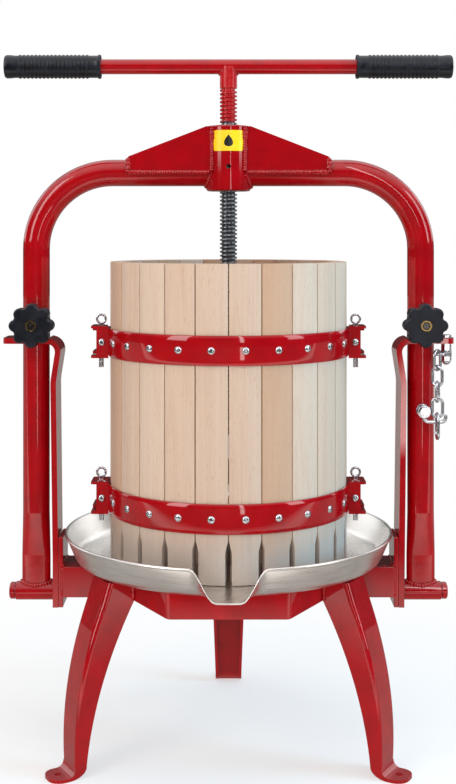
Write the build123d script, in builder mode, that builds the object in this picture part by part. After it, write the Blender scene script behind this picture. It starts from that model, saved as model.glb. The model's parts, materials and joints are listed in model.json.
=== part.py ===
from build123d import *
import os
from math import cos, radians, sin, sqrt, tan

# Hand screw fruit press with a tilting arch, a slatted basket in halves and a juice pan.
# Millimetres, +Z up. The origin is on the screw axis at floor level. The spout points to -Y,
# and the stop chain is on the +X side. Right-hand pieces are modelled and mirrored to the left.

# Fits and gaps
running_fit = 0.05  # radial, pins and shafts in their bores
thread_gap = 0.15  # radial, screw crest in the bush
weld_gap = 0.05  # between pieces that are welded or pressed together
seat_gap = 0.3  # between loose pieces that rest on or beside each other
slip_gap = 1.0  # beside pieces that swing past each other

# Stand
pivot_height = 189.0
beam_bottom = 188.0
beam_height = 38.0
beam_width = 60.0
beam_wall = 3.0
beam_plate = 6.0
beam_plate_top = 262.0
ring_top = 233.0
ring_height = 31.0
ring_thickness = 5.0
ring_front_apothem = 169.0
ring_leg_apothem = 145.0
ring_bend = 8.0

# Legs, pressed to a channel with the web outward
leg_azimuths = {"leg_front_left": 210.0, "leg_front_right": 330.0, "leg_rear": 90.0}
leg_sheet = 4.0
leg_fold = 7.0
leg_top_gap = 6.0  # below the ring's top
leg_top_lean = 8.0
leg_top_width = 50.0
leg_foot_width = 37.0
leg_top_depth = 40.5
leg_foot_depth = 14.0
leg_spread = 32.0
leg_bulge = 10.5
leg_sections = 5
toe_bend = 9.0
toe_step = 6.0
toe_reach = 246.0
toe_hole_radius = 4.0
toe_hole_inset = 13.5
toe_corner = 15.0

# Side brackets
bracket_gap = 7.0  # from the pan's rim
bracket_thickness = 7.0
bracket_width = 50.0
bracket_bottom = 174.0
bracket_lean = 3.0
bracket_lean_height = 456.0
bracket_hollow = 8.0
bracket_bend = 14.0
bracket_lean_bend = 60.0
head_top = 511.0
head_overhang = 39.0  # past the tube's axis
head_corner = 8.0
web_half_width = 20.0
web_height = 35.0
web_corner = 10.0

# Arch
tube_radius = 16.85
tube_wall = 3.2
tube_stand_off = 24.0  # from the bracket's outer face to the tube's axis
arch_rise = 112.2  # from the basket's top to the tube's axis
arch_bend = 97.0
flat_half_width = 18.0
flat_half_depth = 8.0
flat_top = 290.0
flat_bottom = 235.0
sleeve_radius = 11.5
sleeve_length = 48.0
sleeve_gap = 1.5  # from the bracket's outer face
pin_radius = 8.0
pin_head_radius = 10.5
pin_head_length = 6.7
pin_head_chamfer = 1.5
boss_radius = 28.0
boss_drop = 23.0  # below the tube's axis
boss_height = 82.0
boss_chamfer = 1.5
bush_radius = 18.0
oil_hole_radius = 3.0
oil_hole_rise = 30.0  # above the boss's lower end
gusset_sheet = 3.0
gusset_reach = 126.0
gusset_drop = 38.0
gusset_fold = 2.5
label_width = 39.0
label_height = 26.0
label_corner = 4.0
label_thickness = 0.4
label_rise = 62.5  # its middle, above the boss's lower end

# Screw, handle and pressure foot
screw_radius = 11.0
screw_root_radius = 8.4
screw_pitch = 5.0
thread_crest = 1.8
thread_root = 3.4
screw_tip = 405.0
journal_radius = 8.0
journal_length = 24.0
collar_length = 18.0
handle_rise = 76.0  # from the boss's top to the handle's axis
handle_half_length = 280.0
handle_radius = 9.5
grip_length = 122.0
grip_radius = 13.2
grip_rib_radius = 1.8
grip_rib_count = 17
grip_flange_radius = 15.5
grip_flange_width = 3.0
grip_cap = 4.0
foot_radius = 32.0
foot_plate = 14.0
foot_collar_radius = 17.0
foot_collar_height = 18.0
foot_pin_radius = 1.4
foot_groove_depth = 1.5
foot_groove_height = 3.2
foot_pin_height = 8.0
foot_round = 2.0

# Star knobs
knob_rise = 17.0  # above the bracket's head
knob_lobes = 8
knob_radius = 27.5
knob_lobe_radius = 7.5
knob_depth = 22.0
knob_round = 2.5
knob_valley_round = 3.0
knob_valley = 4.5
insert_radius = 6.6
insert_proud = 1.0
stud_radius = 5.0
stud_chamfer = 0.8
knob_washer_radius = 12.0
knob_washer_thickness = 2.0

# Chain
chain_wire = 4.0
link_length = 28.0
link_width = 15.0
link_gap = 0.3
link_first_gap = 0.6
chain_links = 4
chain_twist = 11.25
end_link_length = 35.0
end_link_width = 20.0
anchor_offset = 30.0  # outward of the tube's axis
anchor_y = -15.5
anchor_azimuth = 225.0
anchor_shank_radius = 3.0
anchor_spacer = 9.0
anchor_washer = 1.5
anchor_washer_radius = 7.0
anchor_nut_radius = 6.5
anchor_cap = 11.0
anchor_head = 4.0
hook_hang = 10.25  # from the end link's upper bow down to the hook's arm
hook_drop = 13.0
hook_wire = 4.5
hook_reach = 27.0
hook_tip = 9.0
hook_bend = 5.0
hook_tip_round = 0.9
hook_shank_radius = 3.5
hook_shank_depth = 5.0
hook_washer = 1.8
hook_washer_radius = 8.2
hook_nut_radius = 7.0
hook_nut = 6.5

# Juice pan
pan_apron = 40.0  # floor outside the basket
pan_flare = 14.0
pan_depth = 34.0
pan_sheet = 1.5
pan_bead = 2.0
spout_top_width = 83.0
spout_bottom_width = 31.0
spout_jut = 10.0  # past the rim
spout_lip = 5.0
spout_overlap = 4.0

# Basket
basket_radius = 150.0
basket_height = 372.0
stave_count = 24
stave_gap = 1.65
stave_foot_slot = 1.9
stave_foot_height = 26.0
stave_taper = 14.0
stave_thickness = 18.0
stave_round = 1.5
hoop_thickness = 2.5
hoop_height = 35.0
hoop_upper_share = 0.7304  # of the basket's height
hoop_lower_share = 0.2075
hoop_split = 3.0
hoop_screw_head = 4.3
hoop_screw_head_height = 2.6
hoop_screw_round = 1.6
hoop_screw_radius = 2.0
hoop_screw_length = 14.0
lug_sheet = 3.0
lug_height = 40.0
lug_length = 29.0
lug_overlap = 8.0
lug_web = 4.0
lug_jut = 22.0  # past the basket's outer radius
lug_cheek_jut = 15.0
lug_pin_jut = 11.5
lug_pin_hole = 3.6
split_pin_wire = 1.5
split_pin_eye = 5.5
split_pin_tail = 14.0
split_pin_gap = 1.6

# Pressing boards
board_thickness = 20.0
board_split = 4.0
board_gap = 3.0
block_width = 40.0
block_height = 30.0
block_half_length = 100.0

# Places of the pan and the basket, which set the width and height of the rest
pan_floor = ring_top + pan_sheet
pan_rim = ring_top + pan_depth
pan_bottom_radius = basket_radius + pan_apron
pan_rim_radius = pan_bottom_radius + pan_flare
spout_reach = pan_rim_radius + spout_jut
basket_bottom = pan_floor + seat_gap
basket_top = basket_bottom + basket_height
stave_pitch = 360 / stave_count
stave_width = 2 * basket_radius * sin(radians(stave_pitch / 2)) - stave_gap
stave_foot_width = stave_width - 2 * stave_foot_slot
stave_face = sqrt(basket_radius**2 - (stave_width / 2) ** 2)
hoop_inner = basket_radius + weld_gap
hoop_outer = hoop_inner + hoop_thickness
hoop_levels = {
    "upper": basket_bottom + hoop_upper_share * basket_height,
    "lower": basket_bottom + hoop_lower_share * basket_height,
}
lug_reach = basket_radius + lug_jut
lug_pin_x = basket_radius + lug_pin_jut

# Places of the stand, the arch and the handle
ring_bottom = ring_top - ring_height
bracket_inner = pan_rim_radius + pan_bead + bracket_gap
bracket_outer = bracket_inner + bracket_thickness
bracket_middle = bracket_inner + bracket_thickness / 2
arch_half_width = bracket_outer + tube_stand_off
arch_height = basket_top + arch_rise
head_bottom = head_top - bracket_thickness
head_end = arch_half_width + head_overhang
web_front = -bracket_width / 2
web_rear = -(tube_radius + slip_gap)
boss_bottom = arch_height - boss_drop
boss_top = boss_bottom + boss_height
oil_hole_height = boss_bottom + oil_hole_rise
label_middle = boss_bottom + label_rise
sleeve_start = bracket_outer + sleeve_gap
sleeve_end = sleeve_start + sleeve_length
knob_height = head_top + knob_rise
handle_height = boss_top + handle_rise

# Levels down the chain, from the bracket's head to the hook
anchor_x = arch_half_width + anchor_offset
spacer_bottom = head_bottom - anchor_spacer
link_level = spacer_bottom - anchor_washer - weld_gap - chain_wire / 2
link_step = link_length - 2 * chain_wire - link_gap
first_bow = link_level + chain_wire + link_first_gap
end_bow = first_bow - chain_links * link_step
hook_bar = end_bow - hook_hang
hook_height = hook_bar + hook_drop

os.makedirs("parts", exist_ok=True)


def save(piece, name):
    """Label a finished piece and write it to its own file."""
    piece.label = name
    export_step(piece, f"parts/{name}.step")


def save_pair(piece, name):
    """Write a right-hand piece and its mirror image on the left."""
    save(piece, f"{name}_right")
    with BuildPart() as left:
        add(piece)
        mirror(about=Plane.YZ, mode=Mode.REPLACE)
    save(left.part, f"{name}_left")


# Cross-beam under the pan, a rectangular tube with an upright plate at each end for the side brackets
beam_end = bracket_inner - beam_plate - weld_gap
with BuildPart() as base_beam:
    with BuildSketch(Plane.YZ.offset(-beam_end)):
        with Locations((0, beam_bottom + beam_height / 2)):
            Rectangle(beam_width, beam_height)
            Rectangle(beam_width - 2 * beam_wall, beam_height - 2 * beam_wall, mode=Mode.SUBTRACT)
    extrude(amount=2 * beam_end)
    with BuildSketch(Plane.XY.offset(bracket_bottom)):
        with GridLocations(2 * bracket_inner - beam_plate, 0, 2, 1):
            Rectangle(beam_plate, bracket_width)
    extrude(amount=beam_plate_top - bracket_bottom)
save(base_beam.part, "base_beam")

# Flat-bar ring that carries the pan: three short facets, three long ones for the legs
with BuildPart() as pan_ring:
    with BuildSketch(Plane.XY.offset(ring_bottom)) as ring_outline:
        RegularPolygon(ring_front_apothem, 3, major_radius=False, rotation=90)
        RegularPolygon(ring_leg_apothem, 3, major_radius=False, rotation=30, mode=Mode.INTERSECT)
        fillet(ring_outline.vertices(), ring_bend)
        offset(amount=-ring_thickness, mode=Mode.SUBTRACT)
    extrude(amount=ring_height)
    with Locations((0, 0, beam_bottom)):
        Box(
            2 * bracket_inner,
            beam_width + 2 * weld_gap,
            beam_height + weld_gap,
            align=(Align.CENTER, Align.CENTER, Align.MIN),
            mode=Mode.SUBTRACT,
        )
save(pan_ring.part, "pan_ring")


def leg_section(height, reach, depth, width, fold):
    """Draw the leg's channel at a height, the outer face of its web at x = reach."""
    with BuildSketch(Plane.XY.offset(height)) as section:
        with Locations((reach, 0)):
            Rectangle(depth, width, align=(Align.MAX, Align.CENTER))
        fillet(section.vertices().sort_by(Axis.X)[-2:], fold)
        with Locations((reach - leg_sheet, 0)):
            Rectangle(depth, width - 2 * leg_sheet, align=(Align.MAX, Align.CENTER), mode=Mode.SUBTRACT)
    return section.sketch


def shank_section(share):
    """Draw the leg's channel at a share of the way from the ring (0) to the toe's bend (1)."""
    return leg_section(
        ring_bottom + (toe_level - ring_bottom) * share,
        leg_web_top + leg_spread * share + 4 * leg_bulge * share * (1 - share),
        leg_top_depth + (leg_foot_depth - leg_top_depth) * share,
        leg_top_width + (leg_foot_width - leg_top_width) * share,
        leg_fold + (leg_sheet / 2 - leg_fold) * share,
    )


# Legs: a leaning top against the ring, a bowed shank, and a toe bent out of the web, with a hole
leg_web_top = ring_leg_apothem + weld_gap + leg_top_depth
toe_level = toe_bend + leg_sheet
toe_start = leg_web_top + leg_spread + toe_bend
with BuildPart() as leg_form:
    add(
        leg_section(
            ring_top - leg_top_gap,
            leg_web_top - leg_top_lean,
            leg_top_depth - leg_top_lean,
            leg_top_width,
            leg_fold,
        )
    )
    add(shank_section(0))
    loft()
    for step in range(leg_sections):
        add(shank_section(step / (leg_sections - 1)))
    loft()
    with BuildSketch(Plane.XZ):
        with Locations((toe_start, toe_level)):
            Ellipse(toe_bend + leg_foot_depth, toe_level)
            Circle(toe_bend, mode=Mode.SUBTRACT)
            Rectangle(toe_start, toe_level, align=(Align.MAX, Align.MAX), mode=Mode.INTERSECT)
    extrude(amount=leg_foot_width / 2, both=True)
    with BuildSketch(Plane.XZ):
        with Locations((toe_start - toe_step, toe_level)):
            Rectangle(toe_start, toe_level, align=(Align.MAX, Align.MAX))
        with Locations((toe_start, toe_level)):
            Circle(toe_bend + leg_sheet, mode=Mode.SUBTRACT)
    extrude(amount=leg_foot_width / 2 - leg_sheet, both=True, mode=Mode.SUBTRACT)
    with BuildSketch() as toe_outline:
        with Locations((toe_start, 0)):
            Rectangle(toe_reach - toe_start, leg_foot_width, align=(Align.MIN, Align.CENTER))
        fillet(toe_outline.vertices().sort_by(Axis.X)[-2:], toe_corner)
        with Locations((toe_reach - toe_hole_inset, 0)):
            Circle(toe_hole_radius, mode=Mode.SUBTRACT)
    extrude(amount=leg_sheet)

for leg_name, azimuth in leg_azimuths.items():
    with BuildPart() as leg:
        with Locations(Location((0, 0, 0), (0, 0, azimuth))):
            add(leg_form.part)
    save(leg.part, leg_name)


# Side bracket: a bent flat bar whose head reaches round the tube, open to the rear
with BuildPart() as side_bracket:
    with BuildLine(Plane.XZ) as bracket_path:
        FilletPolyline(
            (bracket_middle, bracket_bottom),
            (bracket_middle, ring_top),
            (bracket_middle + bracket_lean, bracket_lean_height),
            (bracket_middle + bracket_lean - bracket_hollow, head_bottom + bracket_thickness / 2),
            (head_end, head_bottom + bracket_thickness / 2),
            radius=[bracket_lean_bend, bracket_lean_bend, bracket_bend],
        )
    with BuildSketch(Plane.XY.offset(bracket_bottom)):
        with Locations((bracket_middle, 0)):
            Rectangle(bracket_thickness, bracket_width)
    sweep()
    head_corners = side_bracket.edges().filter_by(Axis.Z).group_by(Axis.X)[-1]
    fillet(head_corners, head_corner)
    with BuildSketch(Plane.XZ.offset(-web_rear)) as web_outline:
        with Locations((arch_half_width, head_bottom + web_height / 2 + bracket_thickness / 2)):
            Rectangle(2 * web_half_width, web_height + bracket_thickness)
        fillet(web_outline.vertices().sort_by(Axis.Y)[-2:], web_corner)
    extrude(amount=web_rear - web_front)
    with BuildSketch(Plane.XY.offset(head_bottom - bracket_thickness)):
        with Locations((arch_half_width, (web_rear + bracket_width / 2) / 2)):
            Rectangle(2 * (tube_radius + slip_gap), bracket_width / 2 - web_rear)
    extrude(amount=3 * bracket_thickness, mode=Mode.SUBTRACT)
    with Locations(Location((arch_half_width, web_front, knob_height), (90, 0, 0))):
        Hole(stud_radius + running_fit)
    with Locations(Location((bracket_outer, 0, pivot_height), (0, 90, 0))):
        Hole(pin_radius + running_fit)
with BuildPart() as bracket_with_anchor:
    add(side_bracket.part)
    with Locations((anchor_x, anchor_y, head_top)):
        Hole(anchor_shank_radius + running_fit)
with BuildPart() as bracket_left:
    add(side_bracket.part)
    mirror(about=Plane.YZ, mode=Mode.REPLACE)
save(bracket_with_anchor.part, "side_bracket_right")
save(bracket_left.part, "side_bracket_left")

# Pivot pin through the bracket, with a head that keeps the arch sleeve on
with BuildPart() as pivot_pin:
    with BuildSketch(Plane.YZ.offset(bracket_inner)):
        with Locations((0, pivot_height)):
            Circle(pin_radius)
    extrude(amount=sleeve_end + slip_gap - bracket_inner)
    with BuildSketch(Plane.YZ.offset(sleeve_end + slip_gap)):
        with Locations((0, pivot_height)):
            Circle(pin_head_radius)
    extrude(amount=pin_head_length)
    chamfer(pivot_pin.faces().sort_by(Axis.X)[-1].edges(), pin_head_chamfer)
save_pair(pivot_pin.part, "pivot_pin")

# Arch tube: bent pipe from the boss to the leg, flattened and saddled on the pivot sleeve below
with BuildPart() as arch_tube:
    with BuildLine(Plane.XZ):
        FilletPolyline(
            (arch_half_width, flat_top),
            (arch_half_width, arch_height),
            (0, arch_height),
            radius=arch_bend,
        )
    with BuildSketch(Plane.XY.offset(flat_top)):
        with Locations((arch_half_width, 0)):
            Circle(tube_radius)
            Circle(tube_radius - tube_wall, mode=Mode.SUBTRACT)
    sweep()
    with BuildSketch(Plane.XY.offset(flat_top)):
        with Locations((arch_half_width, 0)):
            Circle(tube_radius)
    with BuildSketch(Plane.XY.offset(flat_bottom)):
        with Locations((arch_half_width, 0)):
            Ellipse(flat_half_width, flat_half_depth)
    loft()
    with BuildSketch(Plane.XY.offset(pivot_height)):
        with Locations((arch_half_width, 0)):
            Ellipse(flat_half_width, flat_half_depth)
    extrude(amount=flat_bottom - pivot_height)
    with Locations(Location((arch_half_width, 0, pivot_height), (0, 90, 0))):
        Cylinder(sleeve_radius + weld_gap, 2 * sleeve_length, mode=Mode.SUBTRACT)
    Cylinder(
        boss_radius + weld_gap,
        boss_top,
        align=(Align.CENTER, Align.CENTER, Align.MIN),
        mode=Mode.SUBTRACT,
    )
with BuildPart() as arch_tube_right:
    add(arch_tube.part.solids().sort_by(SortBy.VOLUME)[-1])
    with Locations(Location((arch_half_width, -tube_radius, hook_height), (90, 0, 0))):
        Cylinder(hook_shank_radius + running_fit, 2 * hook_shank_depth, mode=Mode.SUBTRACT)
with BuildPart() as arch_tube_left:
    add(arch_tube.part.solids().sort_by(SortBy.VOLUME)[-1])
    mirror(about=Plane.YZ, mode=Mode.REPLACE)
save(arch_tube_right.part, "arch_tube_right")
save(arch_tube_left.part, "arch_tube_left")

# Pivot sleeve welded across the foot of each tube
with BuildPart() as pivot_sleeve:
    with BuildSketch(Plane.YZ.offset(sleeve_start)):
        with Locations((0, pivot_height)):
            Circle(sleeve_radius)
            Circle(pin_radius + running_fit, mode=Mode.SUBTRACT)
    extrude(amount=sleeve_length)
save_pair(pivot_sleeve.part, "pivot_sleeve")

# Boss in the middle of the arch, with an oil hole to the bush
with BuildPart() as screw_boss:
    with BuildSketch(Plane.XY.offset(boss_bottom)):
        Circle(boss_radius)
        Circle(bush_radius + weld_gap, mode=Mode.SUBTRACT)
    extrude(amount=boss_height)
    chamfer(screw_boss.edges().filter_by(GeomType.CIRCLE).group_by(SortBy.RADIUS)[-1], boss_chamfer)
    with Locations(Location((0, -boss_radius, oil_hole_height), (90, 0, 0))):
        Cylinder(oil_hole_radius, 2 * (boss_radius - screw_radius), mode=Mode.SUBTRACT)
save(screw_boss.part, "screw_boss")

# Threaded bush pressed into the boss, its bore drawn at the thread's outer size
with BuildPart() as nut_bush:
    with BuildSketch(Plane.XY.offset(boss_bottom)):
        Circle(bush_radius)
        Circle(screw_radius + thread_gap, mode=Mode.SUBTRACT)
    extrude(amount=boss_height)
    with Locations(Location((0, -boss_radius, oil_hole_height), (90, 0, 0))):
        Cylinder(oil_hole_radius, 2 * (boss_radius - screw_radius), mode=Mode.SUBTRACT)
save(nut_bush.part, "nut_bush")

# Gusset folded over the tube, from the boss down to the tube's top
gusset_inside = tube_radius + weld_gap
gusset_outside = gusset_inside + gusset_sheet
gusset_low = arch_height + gusset_inside + gusset_sheet
gusset_high = gusset_low + gusset_drop
with BuildPart() as gusset:
    with BuildSketch(Plane.XZ):
        with BuildLine():
            Polyline(
                (0, arch_height),
                (gusset_reach, arch_height),
                (gusset_reach, gusset_low),
                (boss_radius, gusset_high),
                (0, gusset_high),
                close=True,
            )
        make_face()
    extrude(amount=gusset_outside, both=True)
    with BuildSketch(Plane.XZ):
        with BuildLine():
            Polyline(
                (0, arch_height),
                (gusset_reach, arch_height),
                (gusset_reach, gusset_low - gusset_sheet),
                (boss_radius, gusset_high - gusset_sheet),
                (0, gusset_high - gusset_sheet),
                close=True,
            )
        make_face()
    extrude(amount=gusset_inside, both=True, mode=Mode.SUBTRACT)
    fillet(gusset.edges().filter_by(Axis.Y, reverse=True).group_by(Axis.Z)[-2], gusset_fold)
    Cylinder(
        boss_radius + weld_gap,
        2 * gusset_high,
        mode=Mode.SUBTRACT,
    )
save_pair(gusset.part, "gusset")

# Yellow label on the front of the boss, bare
with BuildPart() as oil_label:
    with BuildSketch(Plane.XZ):
        with Locations((0, label_middle)):
            RectangleRounded(label_width, label_height, label_corner)
    extrude(amount=2 * boss_radius)
    Cylinder(boss_radius + weld_gap + label_thickness, 2 * boss_top, mode=Mode.INTERSECT)
    Cylinder(boss_radius + weld_gap, 2 * boss_top, mode=Mode.SUBTRACT)
save(oil_label.part, "oil_label")

# Press screw: journal with a groove, one-start thread, plain collar saddled under the handle
thread_start = screw_tip + journal_length
thread_end = handle_height - handle_radius - collar_length
thread_depth = screw_radius - screw_root_radius
with BuildPart() as press_screw:
    with BuildSketch(Plane.XY.offset(screw_tip)):
        Circle(journal_radius)
    extrude(amount=journal_length)
    with BuildSketch(Plane.XY.offset(thread_start)):
        Circle(screw_root_radius)
    extrude(amount=thread_end - thread_start)
    with BuildLine() as thread_path:
        Helix(
            pitch=screw_pitch,
            height=thread_end - thread_start - screw_pitch,
            radius=screw_root_radius,
            center=(0, 0, thread_start + screw_pitch / 2),
        )
    thread_plane = Plane(
        origin=thread_path.line @ 0,
        x_dir=(1, 0, 0),
        z_dir=thread_path.line % 0,
    )
    with BuildSketch(thread_plane):
        with BuildLine():
            Polyline(
                (-thread_gap, -thread_root / 2),
                (thread_depth, -thread_crest / 2),
                (thread_depth, thread_crest / 2),
                (-thread_gap, thread_root / 2),
                close=True,
            )
        make_face()
    sweep(path=thread_path.line, is_frenet=True)
    with BuildSketch(Plane.XY.offset(thread_end)):
        Circle(screw_radius)
    extrude(amount=handle_height - thread_end)
    with Locations(Location((0, 0, handle_height), (0, 90, 0))):
        Cylinder(handle_radius + weld_gap, 4 * screw_radius, mode=Mode.SUBTRACT)
    with BuildSketch(Plane.XY.offset(screw_tip + foot_pin_height - foot_groove_height / 2)):
        Circle(journal_radius + running_fit)
        Circle(journal_radius - foot_groove_depth, mode=Mode.SUBTRACT)
    extrude(amount=foot_groove_height, mode=Mode.SUBTRACT)
with BuildPart() as screw_body:
    add(press_screw.part.solids().sort_by(SortBy.VOLUME)[-1])
save(screw_body.part, "press_screw")

# Handle bar across the top of the screw
with BuildPart() as handle_bar:
    with BuildSketch(Plane.YZ.offset(-handle_half_length)):
        with Locations((0, handle_height)):
            Circle(handle_radius)
    extrude(amount=2 * handle_half_length)
save(handle_bar.part, "handle_bar")

# Ribbed grip, closed at its outer end
grip_end = handle_half_length + grip_cap
grip_start = grip_end - grip_length
rib_pitch = (grip_length - 2 * grip_flange_width) / grip_rib_count
with BuildPart() as grip:
    with BuildSketch(Plane.XZ):
        with Locations((grip_start, handle_height)):
            Rectangle(grip_length, grip_radius, align=Align.MIN)
            Rectangle(grip_flange_width, grip_flange_radius, align=Align.MIN)
        with Locations((grip_end, handle_height)):
            Rectangle(grip_flange_width, grip_flange_radius, align=(Align.MAX, Align.MIN))
        with Locations(((grip_start + grip_end) / 2, handle_height + grip_radius)):
            with GridLocations(rib_pitch, 0, grip_rib_count, 1):
                Circle(grip_rib_radius)
        with Locations((grip_start, handle_height)):
            Rectangle(
                grip_length - grip_cap + weld_gap,
                handle_radius + weld_gap,
                align=Align.MIN,
                mode=Mode.SUBTRACT,
            )
    revolve(axis=Axis((0, 0, handle_height), (1, 0, 0)))
save_pair(grip.part, "grip")

# Pressure foot that turns freely on the journal
foot_top = screw_tip + foot_collar_height
socket_floor = screw_tip - seat_gap
with BuildPart() as pressure_foot:
    with BuildSketch(Plane.XY.offset(socket_floor - foot_plate)):
        Circle(foot_radius)
    extrude(amount=foot_plate)
    fillet(pressure_foot.edges(), foot_round)
    with BuildSketch(Plane.XY.offset(socket_floor)):
        Circle(foot_collar_radius)
        Circle(journal_radius + running_fit, mode=Mode.SUBTRACT)
    extrude(amount=foot_top - socket_floor)
    foot_pin_x = journal_radius - foot_groove_depth + foot_pin_radius + running_fit
    with GridLocations(2 * foot_pin_x, 0, 2, 1):
        with Locations(Location((0, 0, screw_tip + foot_pin_height), (90, 0, 0))):
            Cylinder(foot_pin_radius + running_fit, 3 * foot_collar_radius, mode=Mode.SUBTRACT)
save(pressure_foot.part, "pressure_foot")

# Two cross pins that ride in the journal's groove and keep the foot on
with BuildPart() as foot_pins:
    with GridLocations(2 * foot_pin_x, 0, 2, 1):
        with Locations(Location((0, 0, screw_tip + foot_pin_height), (90, 0, 0))):
            Cylinder(foot_pin_radius, 2 * sqrt(foot_collar_radius**2 - foot_pin_x**2))
save(foot_pins.part, "foot_pins")

# Star knob with its brass insert, stud and washer, in front of the bracket's web
knob_back = web_front - knob_washer_thickness
stud_tip = -(tube_radius + seat_gap)
with BuildPart() as star_knob:
    with BuildSketch(Plane.XZ.offset(-knob_back)) as knob_outline:
        with Locations((arch_half_width, knob_height)):
            Circle(knob_radius - knob_valley)
            with PolarLocations(knob_radius - knob_lobe_radius, knob_lobes):
                Circle(knob_lobe_radius)
        fillet(knob_outline.vertices(), knob_valley_round)
    extrude(amount=knob_depth)
    fillet(star_knob.faces().filter_by(Axis.Y).edges(), knob_round)
    with BuildSketch(Plane.XZ.offset(-knob_back)):
        with Locations((arch_half_width, knob_height)):
            Circle(insert_radius + weld_gap)
    extrude(amount=knob_depth + insert_proud, mode=Mode.SUBTRACT)
save_pair(star_knob.part, "star_knob")

with BuildPart() as knob_insert:
    with BuildSketch(Plane.XZ.offset(-knob_back)):
        with Locations((arch_half_width, knob_height)):
            Circle(insert_radius)
            Circle(stud_radius + weld_gap, mode=Mode.SUBTRACT)
    extrude(amount=knob_depth + insert_proud)
save_pair(knob_insert.part, "knob_insert")

with BuildPart() as lock_stud:
    with BuildSketch(Plane.XZ.offset(-stud_tip)):
        with Locations((arch_half_width, knob_height)):
            Circle(stud_radius)
    extrude(amount=stud_tip - knob_back + knob_depth)
    chamfer(lock_stud.edges().filter_by(GeomType.CIRCLE), stud_chamfer)
save_pair(lock_stud.part, "lock_stud")

with BuildPart() as knob_washer:
    with BuildSketch(Plane.XZ.offset(-web_front)):
        with Locations((arch_half_width, knob_height)):
            Circle(knob_washer_radius)
            Circle(stud_radius + running_fit, mode=Mode.SUBTRACT)
    extrude(amount=knob_washer_thickness)
save_pair(knob_washer.part, "knob_washer")



def chain_link(length, width):
    """Make a wire link that hangs in the XZ plane, the middle of its top bow's wire at the origin."""
    bow = (width - chain_wire) / 2
    drop = length - chain_wire
    with BuildPart() as link:
        with BuildLine(Plane.XZ) as loop:
            Line((bow, -drop / 2), (bow, -bow))
            ThreePointArc((bow, -bow), (0, 0), (-bow, -bow))
            Line((-bow, -bow), (-bow, bow - drop))
            ThreePointArc((-bow, bow - drop), (0, -drop), (bow, bow - drop))
            Line((bow, bow - drop), (bow, -drop / 2))
        with BuildSketch(Plane.XY.offset(-drop / 2)):
            with Locations((bow, 0)):
                Circle(chain_wire / 2)
        sweep(path=loop.wire())
    return link.part


# Chain anchor under the right bracket head: bolt, spacer nut, washers and cap nut
lower_washer_top = link_level - chain_wire / 2 - weld_gap
cap_top = lower_washer_top - anchor_washer
with BuildPart() as anchor_bolt:
    with BuildSketch(Plane.XY.offset(head_top)):
        with Locations((anchor_x, anchor_y)):
            RegularPolygon(anchor_nut_radius, 6)
    extrude(amount=anchor_head)
    with BuildSketch(Plane.XY.offset(head_top)):
        with Locations((anchor_x, anchor_y)):
            Circle(anchor_shank_radius)
    extrude(amount=cap_top - anchor_cap / 2 - head_top)
save(anchor_bolt.part, "anchor_bolt")

with BuildPart() as anchor_washers:
    with BuildSketch(Plane.XY.offset(spacer_bottom + weld_gap)):
        with Locations((anchor_x, anchor_y)):
            RegularPolygon(anchor_nut_radius, 6)
            Circle(anchor_shank_radius + running_fit, mode=Mode.SUBTRACT)
    extrude(amount=anchor_spacer - 2 * weld_gap)
    for washer_top in (spacer_bottom, lower_washer_top):
        with BuildSketch(Plane.XY.offset(washer_top)):
            with Locations((anchor_x, anchor_y)):
                Circle(anchor_washer_radius)
                Circle(anchor_shank_radius + running_fit, mode=Mode.SUBTRACT)
        extrude(amount=-anchor_washer)
save(anchor_washers.part, "anchor_washers")

with BuildPart() as anchor_cap_nut:
    with BuildSketch(Plane.XY.offset(cap_top)):
        with Locations((anchor_x, anchor_y)):
            RegularPolygon(anchor_nut_radius, 6)
    extrude(amount=-anchor_cap / 2)
    with Locations((anchor_x, anchor_y, cap_top - anchor_cap / 2)):
        Sphere(anchor_cap / 2)
    with Locations((anchor_x, anchor_y, cap_top)):
        Cylinder(
            anchor_shank_radius + running_fit,
            anchor_cap / 2 + running_fit,
            align=(Align.CENTER, Align.CENTER, Align.MAX),
            mode=Mode.SUBTRACT,
        )
save(anchor_cap_nut.part, "anchor_cap_nut")

# First link, clamped flat between the washers, reaching forward past the tube
anchor_reach = (cos(radians(anchor_azimuth)), sin(radians(anchor_azimuth)))
near_bow = anchor_shank_radius + running_fit + chain_wire / 2
far_bow = link_length - chain_wire - near_bow
chain_x = anchor_x + far_bow * anchor_reach[0]
chain_y = anchor_y + far_bow * anchor_reach[1]
link_plane = Plane(
    origin=(anchor_x - near_bow * anchor_reach[0], anchor_y - near_bow * anchor_reach[1], link_level),
    x_dir=(-anchor_reach[1], anchor_reach[0], 0),
    z_dir=(-anchor_reach[0], -anchor_reach[1], 0),
)
with BuildPart() as anchor_link:
    with Locations(link_plane.location):
        add(chain_link(link_length, link_width))
save(anchor_link.part, "anchor_link")

# Hanging links, each a quarter turn and a little twist on from the one above, then the end link
with BuildPart() as hanging_links:
    for place in range(chain_links):
        turn = anchor_azimuth + place * (90 + chain_twist)
        with Locations(Location((chain_x, chain_y, first_bow - place * link_step), (0, 0, turn))):
            add(chain_link(link_length, link_width))
save(hanging_links.part, "chain_links")

with BuildPart() as end_link:
    with Locations(Location((chain_x, chain_y, end_bow), (0, 0, 90))):
        add(chain_link(end_link_length, end_link_width))
save(end_link.part, "chain_end_link")

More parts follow.
